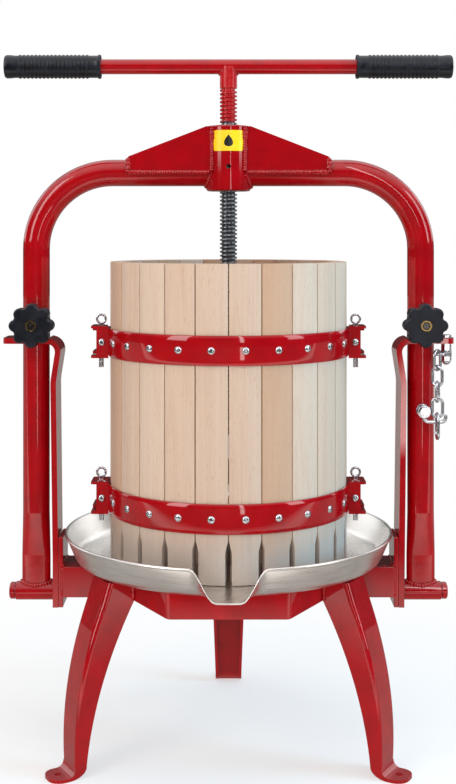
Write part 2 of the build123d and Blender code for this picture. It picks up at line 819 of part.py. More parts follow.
# Hook on the right tube: an eye round its bolt and an arm that runs through the end link
hook_eye = hook_shank_radius + running_fit + hook_wire / 2
with BuildPart() as chain_hook:
    with Locations(Location((arch_half_width, chain_y, hook_height), (90, 0, 0))):
        Torus(hook_eye, hook_wire / 2)
    with BuildLine(Plane.XZ.offset(-chain_y)) as hook_path:
        FilletPolyline(
            (arch_half_width, hook_height - hook_eye),
            (arch_half_width, hook_bar),
            (arch_half_width + hook_reach, hook_bar),
            (arch_half_width + hook_reach, hook_bar + hook_tip),
            radius=hook_bend,
        )
    with BuildSketch(Plane.XY.offset(hook_height - hook_eye)):
        with Locations((arch_half_width, chain_y)):
            Circle(hook_wire / 2)
    sweep(path=hook_path.line)
    fillet(chain_hook.faces().filter_by(Axis.Z).sort_by(Axis.X)[-1].edges(), hook_tip_round)
save(chain_hook.part, "chain_hook")

# Bolt, spacer, washers and nut that hold the hook to the tube
hook_seat = -tube_radius - weld_gap
hook_back = chain_y + hook_wire / 2
hook_front = chain_y - hook_wire / 2
nut_back = hook_front - hook_washer
nut_front = nut_back - hook_nut


def on_hook_axis(radius, bore, back, front):
    """Make a round collar on the hook bolt's axis, from its back to its front along -Y."""
    with BuildPart() as collar:
        with BuildSketch(Plane.XZ.offset(-back)):
            with Locations((arch_half_width, hook_height)):
                Circle(radius)
                if bore:
                    Circle(bore, mode=Mode.SUBTRACT)
        extrude(amount=back - front)
    return collar.part


hook_bore = hook_shank_radius + running_fit
save(on_hook_axis(hook_shank_radius, 0, hook_shank_depth - tube_radius, nut_front), "hook_bolt")
with BuildPart() as hook_washers:
    add(on_hook_axis(hook_nut_radius, hook_bore, hook_seat - hook_washer - weld_gap, hook_back + weld_gap))
    add(on_hook_axis(hook_washer_radius, hook_bore, hook_seat, hook_seat - hook_washer))
    add(on_hook_axis(hook_washer_radius, hook_bore, hook_front, nut_back))
save(hook_washers.part, "hook_washers")
with BuildPart() as hook_nut_part:
    with BuildSketch(Plane.XZ.offset(-nut_back)):
        with Locations((arch_half_width, hook_height)):
            RegularPolygon(hook_nut_radius, 6)
            Circle(hook_bore, mode=Mode.SUBTRACT)
    extrude(amount=hook_nut)
save(hook_nut_part.part, "hook_nut")

# Juice pan: flared sheet with a beaded rim, cut open at the front for a tapering spout
with BuildPart() as juice_pan:
    with BuildSketch(Plane.XZ):
        with BuildLine():
            Polyline(
                (0, ring_top),
                (pan_bottom_radius, ring_top),
                (pan_rim_radius, pan_rim),
                (pan_rim_radius - pan_sheet, pan_rim),
                (pan_bottom_radius - pan_sheet, pan_floor),
                (0, pan_floor),
                close=True,
            )
        make_face()
        with Locations((pan_rim_radius, pan_rim)):
            Circle(pan_bead)
    revolve(axis=Axis.Z)
    with BuildSketch(Plane.XZ.offset(pan_bottom_radius / 2)):
        with BuildLine():
            Polyline(
                (-spout_bottom_width / 2, pan_floor),
                (spout_bottom_width / 2, pan_floor),
                (spout_top_width / 2, pan_rim + pan_bead),
                (-spout_top_width / 2, pan_rim + pan_bead),
                close=True,
            )
        make_face()
    extrude(amount=pan_rim_radius, mode=Mode.SUBTRACT)
    with BuildSketch(Plane.XZ.offset(pan_bottom_radius - spout_overlap)):
        with BuildLine():
            Polyline(
                (-spout_bottom_width / 2 - pan_sheet, ring_top),
                (spout_bottom_width / 2 + pan_sheet, ring_top),
                (spout_top_width / 2 + pan_sheet, pan_rim + pan_bead),
                (spout_top_width / 2, pan_rim + pan_bead),
                (spout_bottom_width / 2, pan_floor),
                (-spout_bottom_width / 2, pan_floor),
                (-spout_top_width / 2, pan_rim + pan_bead),
                (-spout_top_width / 2 - pan_sheet, pan_rim + pan_bead),
                close=True,
            )
        make_face()
    extrude(amount=spout_reach - pan_bottom_radius + spout_overlap)
    with BuildSketch(Plane.YZ):
        with BuildLine():
            Polyline(
                (-spout_reach, pan_floor + spout_lip),
                (-pan_rim_radius - pan_bead, pan_rim + pan_bead),
                (-spout_reach, pan_rim + pan_bead),
                close=True,
            )
        make_face()
    extrude(amount=spout_top_width, both=True, mode=Mode.SUBTRACT)
save(juice_pan.part, "juice_pan")

# One stave, with its outer face toward +X, narrowed at the foot so that the juice runs out
foot_top_level = basket_bottom + stave_foot_height
stave_taper_in = stave_thickness * tan(radians(stave_pitch / 2))
with BuildPart() as stave_form:
    with BuildSketch(Plane.XY.offset(basket_bottom)):
        with BuildLine():
            Polyline(
                (stave_face, stave_width / 2),
                (stave_face - stave_thickness, stave_width / 2 - stave_taper_in),
                (stave_face - stave_thickness, stave_taper_in - stave_width / 2),
                (stave_face, -stave_width / 2),
                close=True,
            )
        make_face()
    extrude(amount=basket_height)
    with BuildSketch(Plane.YZ):
        with BuildLine():
            Polyline(
                (stave_foot_width / 2, basket_bottom),
                (stave_foot_width / 2, foot_top_level),
                (stave_width / 2, foot_top_level + stave_taper),
                (stave_width, foot_top_level + stave_taper),
                (stave_width, basket_bottom),
                close=True,
            )
        make_face()
        mirror(about=Plane.YZ)
    extrude(amount=basket_radius, mode=Mode.SUBTRACT)
    fillet(stave_form.faces().filter_by(Axis.X).edges(), stave_round)
    for level in hoop_levels.values():
        with Locations(Location((hoop_outer, 0, level), (0, 90, 0))):
            Cylinder(
                hoop_screw_radius + running_fit,
                hoop_screw_length + running_fit,
                align=(Align.CENTER, Align.CENTER, Align.MAX),
                mode=Mode.SUBTRACT,
            )

# The staves of the front and rear halves, which part at the left and right
half_starts = {"front": 180.0, "rear": 0.0}
for half, start in half_starts.items():
    with BuildPart() as staves:
        with PolarLocations(0, stave_count // 2, start_angle=start + stave_pitch / 2, angular_range=180):
            add(stave_form.part)
    save(staves.part, f"staves_{half}")

# Round-head screws, one through each hoop into each stave but the four that the lugs share
plain_screws = stave_count // 2 - 2
plain_range = plain_screws * stave_pitch
for level_name, level in hoop_levels.items():
    with BuildPart() as hoop_screw:
        with Locations(Location((hoop_outer, 0, level), (0, 90, 0))):
            Cylinder(
                hoop_screw_head,
                hoop_screw_head_height,
                align=(Align.CENTER, Align.CENTER, Align.MIN),
            )
        fillet(hoop_screw.edges().group_by(Axis.X)[-1], hoop_screw_round)
        with Locations(Location((hoop_outer, 0, level), (0, 90, 0))):
            Cylinder(
                hoop_screw_radius,
                hoop_screw_length,
                align=(Align.CENTER, Align.CENTER, Align.MAX),
            )
    with BuildPart() as hoop_screws:
        for start in half_starts.values():
            first = start + 1.5 * stave_pitch
            with PolarLocations(0, plain_screws, start_angle=first, angular_range=plain_range):
                add(hoop_screw.part)
    save(hoop_screws.part, f"hoop_screws_{level_name}")

# Hoop halves with a hole for each stave's screw
lug_back = hoop_outer + weld_gap
lug_face = lug_back + lug_web
for level_name, level in hoop_levels.items():
    for half, start in half_starts.items():
        side = -1 if half == "front" else 1
        with BuildPart() as hoop:
            with BuildSketch(Plane.XY.offset(level - hoop_height / 2)):
                Circle(hoop_outer)
                Circle(hoop_inner, mode=Mode.SUBTRACT)
                with Locations((0, side * hoop_split / 2)):
                    Rectangle(
                        3 * hoop_outer,
                        2 * hoop_outer,
                        align=(Align.CENTER, Align.MIN if side > 0 else Align.MAX),
                        mode=Mode.INTERSECT,
                    )
            extrude(amount=hoop_height)
            with PolarLocations(0, stave_count // 2, start_angle=start + stave_pitch / 2, angular_range=180):
                with Locations(Location((hoop_outer, 0, level), (0, 90, 0))):
                    Cylinder(hoop_screw_radius + running_fit, 4 * hoop_thickness, mode=Mode.SUBTRACT)
        save(hoop.part, f"hoop_{level_name}_{half}")


def lug(side, level, height):
    """Make a lug with a cheek on the right end of a hoop half; side is -1 in front and 1 behind."""
    with BuildPart() as channel:
        with BuildSketch(Plane.XY.offset(level - height / 2)) as plan:
            with Locations((hoop_inner - hoop_thickness, -side * lug_overlap)):
                Rectangle(
                    lug_reach - hoop_inner + hoop_thickness,
                    lug_length + lug_overlap,
                    align=(Align.MIN, Align.MIN if side > 0 else Align.MAX),
                )
            corners = plan.vertices().group_by(Axis.X)[-1]
            fillet(corners, lug_sheet)
        extrude(amount=height)
        with BuildSketch(Plane.XY.offset(level - height / 2 + lug_sheet)):
            Circle(2 * lug_reach)
            Circle(lug_face, mode=Mode.SUBTRACT)
        extrude(amount=height - 2 * lug_sheet, mode=Mode.SUBTRACT)
        with BuildSketch(Plane.XY.offset(level - height / 2)):
            with Locations((0, side * hoop_split / 2)):
                Rectangle(
                    2 * lug_reach,
                    lug_length,
                    align=(Align.CENTER, Align.MAX if side > 0 else Align.MIN),
                )
            Circle(lug_face + slip_gap, mode=Mode.INTERSECT)
        extrude(amount=height, mode=Mode.SUBTRACT)
        with Locations((hoop_inner - hoop_thickness, side * lug_length, level)):
            Box(
                lug_cheek_jut + hoop_thickness - weld_gap,
                lug_sheet,
                height,
                align=(Align.MIN, Align.MAX if side > 0 else Align.MIN, Align.CENTER),
            )
        Cylinder(lug_back, 2 * basket_top, mode=Mode.SUBTRACT)
        with Locations((lug_pin_x, 0, level)):
            Cylinder(lug_pin_hole, 2 * height, mode=Mode.SUBTRACT)
        with PolarLocations(0, 1, start_angle=side * stave_pitch / 2):
            with Locations(Location((lug_face, 0, level), (0, 90, 0))):
                Cylinder(hoop_screw_radius + running_fit, 4 * lug_web, mode=Mode.SUBTRACT)
    return channel.part


# Lugs: the front ones reach over and under the rear ones, and a split pin goes through both
rear_lug_height = lug_height - 2 * lug_sheet - 2 * slip_gap
for half, side, height in (("front", -1, lug_height), ("rear", 1, rear_lug_height)):
    with BuildPart() as lugs:
        for level in hoop_levels.values():
            add(lug(side, level, height))
        mirror(about=Plane.YZ)
    save(lugs.part, f"hoop_lugs_{half}")

# Screws that hold the lugs, through the hoop and into the staves beside the split
with BuildPart() as lug_screws:
    for level in hoop_levels.values():
        with PolarLocations(0, 2, start_angle=-stave_pitch / 2, angular_range=2 * stave_pitch):
            with Locations(Location((lug_face, 0, level), (0, 90, 0))):
                Cylinder(
                    hoop_screw_head,
                    hoop_screw_head_height,
                    align=(Align.CENTER, Align.CENTER, Align.MIN),
                )
                Cylinder(
                    hoop_screw_radius,
                    hoop_screw_length + lug_face - hoop_outer,
                    align=(Align.CENTER, Align.CENTER, Align.MAX),
                )
    mirror(about=Plane.YZ)
save(lug_screws.part, "lug_screws")

# Split pins: a wire eye on two prongs
for level_name, level in hoop_levels.items():
    eye_level = level + lug_height / 2 + seat_gap + split_pin_eye + split_pin_wire
    tail_level = level - lug_height / 2 - split_pin_tail
    with BuildPart() as split_pin:
        with Locations(Location((lug_pin_x, 0, eye_level), (90, 0, 0))):
            Torus(split_pin_eye, split_pin_wire)
        with Locations((lug_pin_x, 0, tail_level)):
            with GridLocations(2 * split_pin_gap, 0, 2, 1):
                Cylinder(
                    split_pin_wire,
                    eye_level - split_pin_eye - tail_level,
                    align=(Align.CENTER, Align.CENTER, Align.MIN),
                )
    save_pair(split_pin.part, f"split_pin_{level_name}")

# Pressing boards: two half discs and a cross block, loose in the basket on the pan floor
board_radius = stave_face - stave_thickness - board_gap
with BuildPart() as pressing_boards:
    with BuildSketch(Plane.XY.offset(pan_floor)):
        Circle(board_radius)
        Rectangle(board_split, 2 * board_radius, mode=Mode.SUBTRACT)
    extrude(amount=board_thickness)
    chamfer(pressing_boards.faces().group_by(Axis.Z)[-1].edges(), stave_round)
save(pressing_boards.part, "pressing_boards")

with BuildPart() as press_block:
    with Locations((0, 0, pan_floor + board_thickness)):
        Box(
            2 * block_half_length,
            block_width,
            block_height,
            align=(Align.CENTER, Align.CENTER, Align.MIN),
        )
    chamfer(press_block.edges().filter_by(Axis.Z), stave_round)
save(press_block.part, "press_block")
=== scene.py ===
"""Looks of a hand screw fruit press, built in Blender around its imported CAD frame.

Metres, +Z up. The screw runs along Z, the spout points to -Y and the stop chain hangs at +X.
"""

import json
import logging
from dataclasses import dataclass
from enum import Enum
from itertools import product
from math import cos, degrees, pi, radians, sin, tan

import bmesh
import bpy
from bmesh.types import BMesh
from bpy.types import ID, Material, Mesh, NodeOutputs, NodeSocket, NodeTree, Object
from mathutils import Matrix, Vector

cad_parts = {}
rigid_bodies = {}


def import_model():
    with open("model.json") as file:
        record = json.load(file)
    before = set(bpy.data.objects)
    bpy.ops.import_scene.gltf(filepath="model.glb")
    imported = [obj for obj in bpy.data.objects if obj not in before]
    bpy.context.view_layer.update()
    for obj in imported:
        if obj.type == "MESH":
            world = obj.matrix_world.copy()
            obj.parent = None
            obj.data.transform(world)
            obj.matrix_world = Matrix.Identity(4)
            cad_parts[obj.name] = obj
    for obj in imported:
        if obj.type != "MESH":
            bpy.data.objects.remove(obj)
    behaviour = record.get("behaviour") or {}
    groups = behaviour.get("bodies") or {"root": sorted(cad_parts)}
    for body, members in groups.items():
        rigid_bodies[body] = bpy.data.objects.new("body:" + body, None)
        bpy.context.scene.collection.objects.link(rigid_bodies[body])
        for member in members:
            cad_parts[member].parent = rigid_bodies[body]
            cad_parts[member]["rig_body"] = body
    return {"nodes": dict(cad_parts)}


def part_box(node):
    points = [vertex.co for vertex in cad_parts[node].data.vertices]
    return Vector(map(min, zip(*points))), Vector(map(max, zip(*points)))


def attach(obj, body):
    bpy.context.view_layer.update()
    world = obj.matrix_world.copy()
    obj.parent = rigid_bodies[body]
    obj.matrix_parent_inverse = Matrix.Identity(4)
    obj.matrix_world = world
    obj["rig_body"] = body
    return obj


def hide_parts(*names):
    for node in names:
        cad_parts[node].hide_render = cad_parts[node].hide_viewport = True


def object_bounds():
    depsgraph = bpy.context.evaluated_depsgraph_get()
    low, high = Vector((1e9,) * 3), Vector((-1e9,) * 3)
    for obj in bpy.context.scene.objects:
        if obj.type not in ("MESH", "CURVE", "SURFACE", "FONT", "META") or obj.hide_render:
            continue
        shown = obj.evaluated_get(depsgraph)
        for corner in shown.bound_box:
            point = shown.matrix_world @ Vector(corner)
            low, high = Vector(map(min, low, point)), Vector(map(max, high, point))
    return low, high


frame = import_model()
CAD_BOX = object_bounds()
MM = 0.001
FULL = (0.0, 1.0)
MIDDLE = (0.3, 0.7)
WHITE = (1.0, 1.0, 1.0)
SAME_POINT = 1e-6
CAD_WELD = 0.02 * MM
CAD_FLAT = radians(0.8)
log = logging.getLogger("fruit_press")

Socket = NodeSocket | float | int | bool | str | tuple | Object
Span = tuple[float, float]
Point = tuple[float, float, float]
Paths = list[list[Point]]
Colour = tuple[float, float, float]


class Slot(Enum):
    """The record's material slots."""

    RED_PAINT = "red_paint"
    STAINLESS = "stainless"
    ZINC = "zinc"
    SCREW_STEEL = "screw_steel"
    BRONZE = "bronze"
    BRASS = "brass"
    BLACK_PLASTIC = "black_plastic"
    GRIP_RUBBER = "grip_rubber"
    BEECH = "beech"
    YELLOW_LABEL = "yellow_label"


class Side(Enum):
    """Left and right of the press, seen from the spout, as the sign of X."""

    LEFT = -1
    RIGHT = 1

    def of(self, name: str) -> str:
        """Give the name of this side's one of two like nodes."""
        return f"{name}_{self.name.lower()}"


class Half(Enum):
    """The two halves of the basket, as the angle at which each one's row starts."""

    FRONT = 180.0
    REAR = 0.0


class Graph:
    """A node tree whose nodes are added and fed by short calls."""

    def __init__(self, tree: NodeTree) -> None:
        """Take over a shader or geometry tree."""
        self.tree = tree

    def feed(self, socket: NodeSocket, value: Socket) -> None:
        """Link a socket to another one, or set its value.

        Args:
            socket: The input to feed.
            value: An output to link, or a plain value.
        """
        if isinstance(value, NodeSocket):
            self.tree.links.new(value, socket)
        else:
            socket.default_value = value

    def add(self, kind: str, inputs: dict[str | int, Socket], **settings: object) -> NodeOutputs:
        """Add a node.

        Args:
            kind: Blender's type name of the node.
            inputs: What feeds each input, by name or index.
            settings: Properties of the node itself.

        Returns:
            The outputs of the new node.
        """
        node = self.tree.nodes.new(kind)
        for name, value in settings.items():
            setattr(node, name, value)
        for key, value in inputs.items():
            self.feed(node.inputs[key], value)
        return node.outputs

    def out(self, kind: str, inputs: dict[str | int, Socket], **settings: object) -> NodeSocket:
        """Add a node and give its first output."""
        return self.add(kind, inputs, **settings)[0]

    def math(self, operation: str, first: Socket, second: Socket = 0.0) -> NodeSocket:
        """Add a Math node for an operation on one or two values."""
        return self.out("ShaderNodeMath", {0: first, 1: second}, operation=operation)

    def remap(self, value: Socket, source: Span, target: Span) -> NodeSocket:
        """Map a value's source range onto a target range, clamped."""
        inputs = {0: value, 1: source[0], 2: source[1], 3: target[0], 4: target[1]}
        return self.out("ShaderNodeMapRange", inputs)

    def ray(self, kind: str) -> NodeSocket:
        """Give 1 for rays of one kind, such as Camera, and 0 for the others."""
        return self.add("ShaderNodeLightPath", {})[f"Is {kind} Ray"]


class ShaderGraph(Graph):
    """A material on one Principled shader, patterned on Object coordinates."""

    def __init__(self, name: str) -> None:
        """Start a material.

        Args:
            name: The material's name.
        """
        self.material = bpy.data.materials.new(name)
        self.material.use_nodes = True
        super().__init__(self.material.node_tree)
        self.surface = self.tree.nodes["Principled BSDF"]
        self.place = self.add("ShaderNodeTexCoord", {})["Object"]
        self.bumped: NodeSocket | None = None

    def paint(self, values: dict[str, Socket]) -> None:
        """Set or link inputs of the shader by name."""
        for name, value in values.items():
            self.feed(self.surface.inputs[name], value)

    def parts(self) -> NodeOutputs:
        """Give X, Y and Z of the Object coordinates."""
        return self.add("ShaderNodeSeparateXYZ", {0: self.place})

    def length(self, axes: Point) -> NodeSocket:
        """Give the distance from the origin along the axes that are 1, leaving out those that are 0."""
        kept = self.out("ShaderNodeVectorMath", {0: self.place, 1: axes}, operation="MULTIPLY")
        return self.add("ShaderNodeVectorMath", {0: kept}, operation="LENGTH")["Value"]

    def stretched(self, scale: Point) -> NodeSocket:
        """Give Object coordinates in pattern units; a larger scale makes a finer pattern."""
        return self.out("ShaderNodeMapping", {"Vector": self.place, "Scale": scale})

    def polar(self, scale: Point) -> NodeSocket:
        """Give coordinates round the Z axis.

        Args:
            scale: Pattern units for the radius, the angle and the height.

        Returns:
            A vector of radius, angle and height.
        """
        x, y, z = self.parts()
        values = (self.length((1.0, 1.0, 0.0)), self.math("ARCTAN2", y, x), z)
        scaled = [self.math("MULTIPLY", value, size) for value, size in zip(values, scale)]
        return self.out("ShaderNodeCombineXYZ", dict(enumerate(scaled)))

    def noise(self, vector: NodeSocket, detail: float, twist: float = 0.0) -> NodeSocket:
        """Read noise of about 0.5 at a vector, with octaves of detail and a twist of its pattern."""
        inputs = {"Vector": vector, "Scale": 1.0, "Detail": detail, "Distortion": twist}
        return self.out("ShaderNodeTexNoise", inputs)

    def cloud(self, scale: float, detail: float) -> NodeSocket:
        """Read noise that is alike along all axes, in patterns per metre."""
        return self.noise(self.stretched((scale,) * 3), detail)

    def mix(self, factor: Socket, *colours: Socket) -> NodeSocket:
        """Mix two colours, given as three parts or as sockets; a factor of 0 gives the first."""
        first, second = (c if isinstance(c, NodeSocket) else (*c, 1.0) for c in colours)
        return self.add("ShaderNodeMix", {0: factor, 6: first, 7: second}, data_type="RGBA")[2]

    def between(self, pattern: NodeSocket, span: Span, *colours: Socket) -> NodeSocket:
        """Go from one colour to another while a pattern runs through a span."""
        return self.mix(self.remap(pattern, span, FULL), *colours)

    def bump(self, height: NodeSocket, depth: float, strength: float) -> None:
        """Add relief to the surface, on top of any relief before it.

        Args:
            height: The relief, 0 to 1.
            depth: How deep a step of 1 is, in metres.
            strength: How much of it shows.
        """
        inputs = {"Height": height, "Distance": depth, "Strength": strength}
        if self.bumped is not None:
            inputs["Normal"] = self.bumped
        self.bumped = self.out("ShaderNodeBump", inputs)
        self.paint({"Normal": self.bumped})


class GeometryGraph(Graph):
    """A Geometry Nodes tree with named inputs, whose result is kept as a plain mesh."""

    def __init__(self, name: str, inputs: dict[str, str]) -> None:
        """Start a tree.

        Args:
            name: The tree's name.
            inputs: The kind of each named input, such as Float.
        """
        super().__init__(bpy.data.node_groups.new(name, "GeometryNodeTree"))
        faces = self.tree.interface
        self.keys: dict[str, str] = {}
        for label, kind in {"Geometry": "Geometry", **inputs}.items():
            socket = faces.new_socket(label, in_out="INPUT", socket_type=f"NodeSocket{kind}")
            self.keys[label] = socket.identifier
        faces.new_socket("Geometry", in_out="OUTPUT", socket_type="NodeSocketGeometry")
        self.inputs = self.add("NodeGroupInput", {})

    def end(self, geometry: NodeSocket) -> None:
        """Close the tree with real meshes, shaded smooth."""
        real = self.out("GeometryNodeRealizeInstances", {0: geometry})
        self.add("NodeGroupOutput", {0: self.out("GeometryNodeSetShadeSmooth", {0: real})})

    def make(self, name: str, base: Object | None = None, **values: Socket) -> Object:
        """Run the tree and keep its result.

        Args:
            name: The new piece's name.
            base: An object whose geometry goes in, which is used up.
            values: The inputs, by name.

        Returns:
            A plain mesh object at the origin.
        """
        holder = base or linked(bpy.data.meshes.new(name), name)
        modifier = holder.modifiers.new("rule", "NODES")
        modifier.node_group = self.tree
        for label, value in values.items():
            modifier[self.keys[label]] = value
        mesh = evaluated(holder, name)
        bpy.data.objects.remove(holder)
        return linked(mesh, name)


def linked(data: ID, name: str) -> Object:
    """Put new data in the scene as an object at the origin."""
    piece = bpy.data.objects.new(name, data)
    bpy.context.scene.collection.objects.link(piece)
    return piece


def evaluated(piece: Object, name: str) -> Mesh:
    """Give an object's mesh with its modifiers applied.

    Args:
        piece: The object, which stays as it is.
        name: The new mesh's name.

    Returns:
        The new mesh.
    """
    bpy.context.view_layer.update()
    depsgraph = bpy.context.evaluated_depsgraph_get()
    mesh = bpy.data.meshes.new_from_object(piece.evaluated_get(depsgraph), depsgraph=depsgraph)
    mesh.name = name
    return mesh


def spaced(end: float, steps: int) -> list[float]:
    """Give equal steps from 0 to an end, both included."""
    return [end * step / steps for step in range(steps + 1)]


def eased(share: float) -> float:
    """Ease a share between 0 and 1 in and out."""
    return share * share * (3 - 2 * share)


def chord(radius: float, aside: float) -> float:
    """Give how far a circle is from its middle line, at a distance aside of its centre."""
    return (radius**2 - aside**2) ** 0.5


def lofted(rows: Paths, opened: bool = False, loop: bool = False) -> BMesh:
    """Join neighbouring rows of points to a form, capped at both ends if its rows are closed.

    Args:
        rows: Rows of equal length.
        opened: Whether a row is open instead of closing on itself.
        loop: Whether the last row meets the first one instead of a cap.

    Returns:
        The form.
    """
    form = bmesh.new()
    made = [[form.verts.new(point) for point in row] for row in rows]
    for near, far in zip(made, made[1:] + made[: int(loop)]):
        for k in range(int(opened), len(near)):
            form.faces.new((near[k - 1], near[k], far[k], far[k - 1]))
    if not opened and not loop:
        form.faces.new(made[0])
        form.faces.new(made[-1][::-1])
    bmesh.ops.remove_doubles(form, verts=form.verts, dist=SAME_POINT)
    bmesh.ops.recalc_face_normals(form, faces=form.faces)
    return form


def mesh_piece(name: str, form: BMesh, smooth_angle: float = 40.0) -> Object:
    """Turn a finished bmesh into an object.

    Args:
        name: The piece's name.
        form: The bmesh, which is freed.
        smooth_angle: Edges sharper than this, in degrees, stay crisp.

    Returns:
        The new object.
    """
    mesh = bpy.data.meshes.new(name)
    form.to_mesh(mesh)
    form.free()
    mesh.polygons.foreach_set("use_smooth", [True] * len(mesh.polygons))
    mesh.set_sharp_from_angle(angle=radians(smooth_angle))
    return linked(mesh, name)


def bevel(form: BMesh, sharp: float, width: float, clamp: bool) -> None:
    """Round the edges of a form by two faces each.

    Args:
        form: The bmesh.
        sharp: Edges sharper than this, in degrees, are rounded.
        width: How far the rounding reaches from an edge.
        clamp: Whether it narrows where edges are close.
    """
    edges = [e for e in form.edges if e.is_manifold and e.calc_face_angle() > radians(sharp)]
    settings = {"offset": width, "segments": 2, "profile": 0.5, "clamp_overlap": clamp}
    bmesh.ops.bevel(form, geom=edges, affect="EDGES", **settings)


@dataclass(frozen=True)
class Finish:
    """A surface finish, which makes its procedural material once."""

    name: str
    slot: Slot
    colour: Colour

    def material(self) -> Material:
        """Give the finish's material."""
        made = bpy.data.materials.get(self.name)
        if made is None:
            graph = ShaderGraph(self.name)
            self.build(graph)
            made = graph.material
        return made

    def build(self, graph: ShaderGraph) -> None:
        """Lay the finish's pattern on the shader of a new material."""
        raise NotImplementedError


@dataclass(frozen=True)
class Mottled(Finish):
    """A surface that goes from a second colour to its own in soft blotches.

    Its relief is a grain of some size, or the blotches themselves where the grain is 0.
    """

    second: Colour
    scale: float = 400.0
    detail: int = 4
    span: Span = (0.35, 0.65)
    roughness: Span = (0.18, 0.38)
    metallic: float = 0.0
    gloss: float = 0.5
    grain: float = 0.0
    relief: float = 0.03 * MM
    strength: float = 0.5

    def build(self, graph: ShaderGraph) -> None:
        """Lay the blotches."""
        cloud = graph.cloud(self.scale, self.detail)
        values = {
            "Base Color": graph.between(cloud, self.span, self.second, self.colour),
            "Metallic": self.metallic,
            "Roughness": graph.remap(cloud, MIDDLE, self.roughness),
            "Specular IOR Level": self.gloss,
        }
        graph.paint(values)
        raised = graph.cloud(1 / self.grain, 2) if self.grain else cloud
        graph.bump(raised, self.relief, self.strength)


@dataclass(frozen=True)
class Enamel(Mottled):
    """Glossy sprayed paint with slight sags and orange peel."""

    second: Colour = (0.28, 0.0004, 0.003)
    scale: float = 1 / (24 * MM)
    detail: int = 2
    span: Span = MIDDLE
    roughness: Span = (0.32, 0.24)
    gloss: float = 0.05
    relief: float = 0.5 * MM
    peel: float = 1.6 * MM
    peel_depth: float = 0.012 * MM
    coat_roughness: float = 0.03

    def build(self, graph: ShaderGraph) -> None:
        """Lay the paint, its clear coat and its peel."""
        super().build(graph)
        graph.paint({"Coat Weight": 1.0, "Coat Roughness": self.coat_roughness})
        graph.bump(graph.cloud(1 / self.peel, 1), self.peel_depth, 0.6)


@dataclass(frozen=True)
class BareMetal(Mottled):
    """Plated or turned metal with fine handling marks."""

    metallic: float = 1.0
    strength: float = 0.4


@dataclass(frozen=True)
class Moulded(Mottled):
    """Moulded plastic or rubber with a fine grained skin."""

    scale: float = 90.0
    span: Span = (0.35, 0.75)
    roughness: Span = (0.3, 0.46)
    gloss: float = 0.35
    relief: float = 0.04 * MM
    grain: float = 0.5 * MM


@dataclass(frozen=True)
class Sticker(Mottled):
    """Printed film with a satin face."""

    scale: float = 160.0
    detail: int = 2
    span: Span = FULL
    roughness: Span = (0.24, 0.36)
    relief: float = 0.05 * MM
    strength: float = 0.3


@dataclass(frozen=True)
class BrushedSheet(Finish):
    """Stainless sheet, spun and brushed round the Z axis."""

    dull: Colour = (0.66, 0.64, 0.61)
    strokes: Point = (2600.0, 5.0, 2600.0)
    blotches: float = 12.0
    roughness: Span = (0.24, 0.40)
    relief: float = 0.02 * MM

    def build(self, graph: ShaderGraph) -> None:
        """Lay the brushing."""
        stroke = graph.noise(graph.polar(self.strokes), 3)
        cloud = graph.cloud(self.blotches, 3)
        worn = graph.math("MULTIPLY", stroke, graph.math("ADD", cloud, 0.5))
        values = {
            "Base Color": graph.between(worn, MIDDLE, self.dull, self.colour),
            "Metallic": 1.0,
            "Roughness": graph.remap(stroke, MIDDLE, self.roughness),
        }
        graph.paint(values)
        graph.bump(stroke, self.relief, 0.5)


@dataclass(frozen=True)
class ThreadSteel(Finish):
    """Oiled dark steel, with the paint of the handle run down over its upper end."""

    paint: Colour = (0.40, 0.0012, 0.004)
    grease: Colour = (0.075, 0.08, 0.09)
    paint_level: float = 0.786
    paint_edge: float = 3 * MM
    paint_drift: float = 8 * MM
    root_radius: float = 8.9 * MM
    crest_radius: float = 10.6 * MM
    blotches: float = 420.0
    metallic: Span = (0.85, 0.0)
    roughness: Span = (0.22, 0.42)
    relief: float = 0.05 * MM

    def build(self, graph: ShaderGraph) -> None:
        """Lay steel on the crests, grease in the roots and paint above."""
        mottle = graph.cloud(self.blotches, 3)
        crest = graph.remap(graph.length((1.0, 1.0, 0.0)), (self.root_radius, self.crest_radius), FULL)
        steel = graph.mix(graph.math("MULTIPLY", crest, mottle), self.grease, self.colour)
        ragged = graph.math("ADD", graph.parts()[2], graph.math("MULTIPLY", mottle, self.paint_drift))
        painted = graph.remap(ragged, (self.paint_level, self.paint_level + self.paint_edge), FULL)
        values = {
            "Base Color": graph.mix(painted, steel, self.paint),
            "Metallic": graph.remap(painted, FULL, self.metallic),
            "Roughness": graph.remap(mottle, MIDDLE, self.roughness),
        }
        graph.paint(values)
        graph.bump(mottle, self.relief, 0.5)


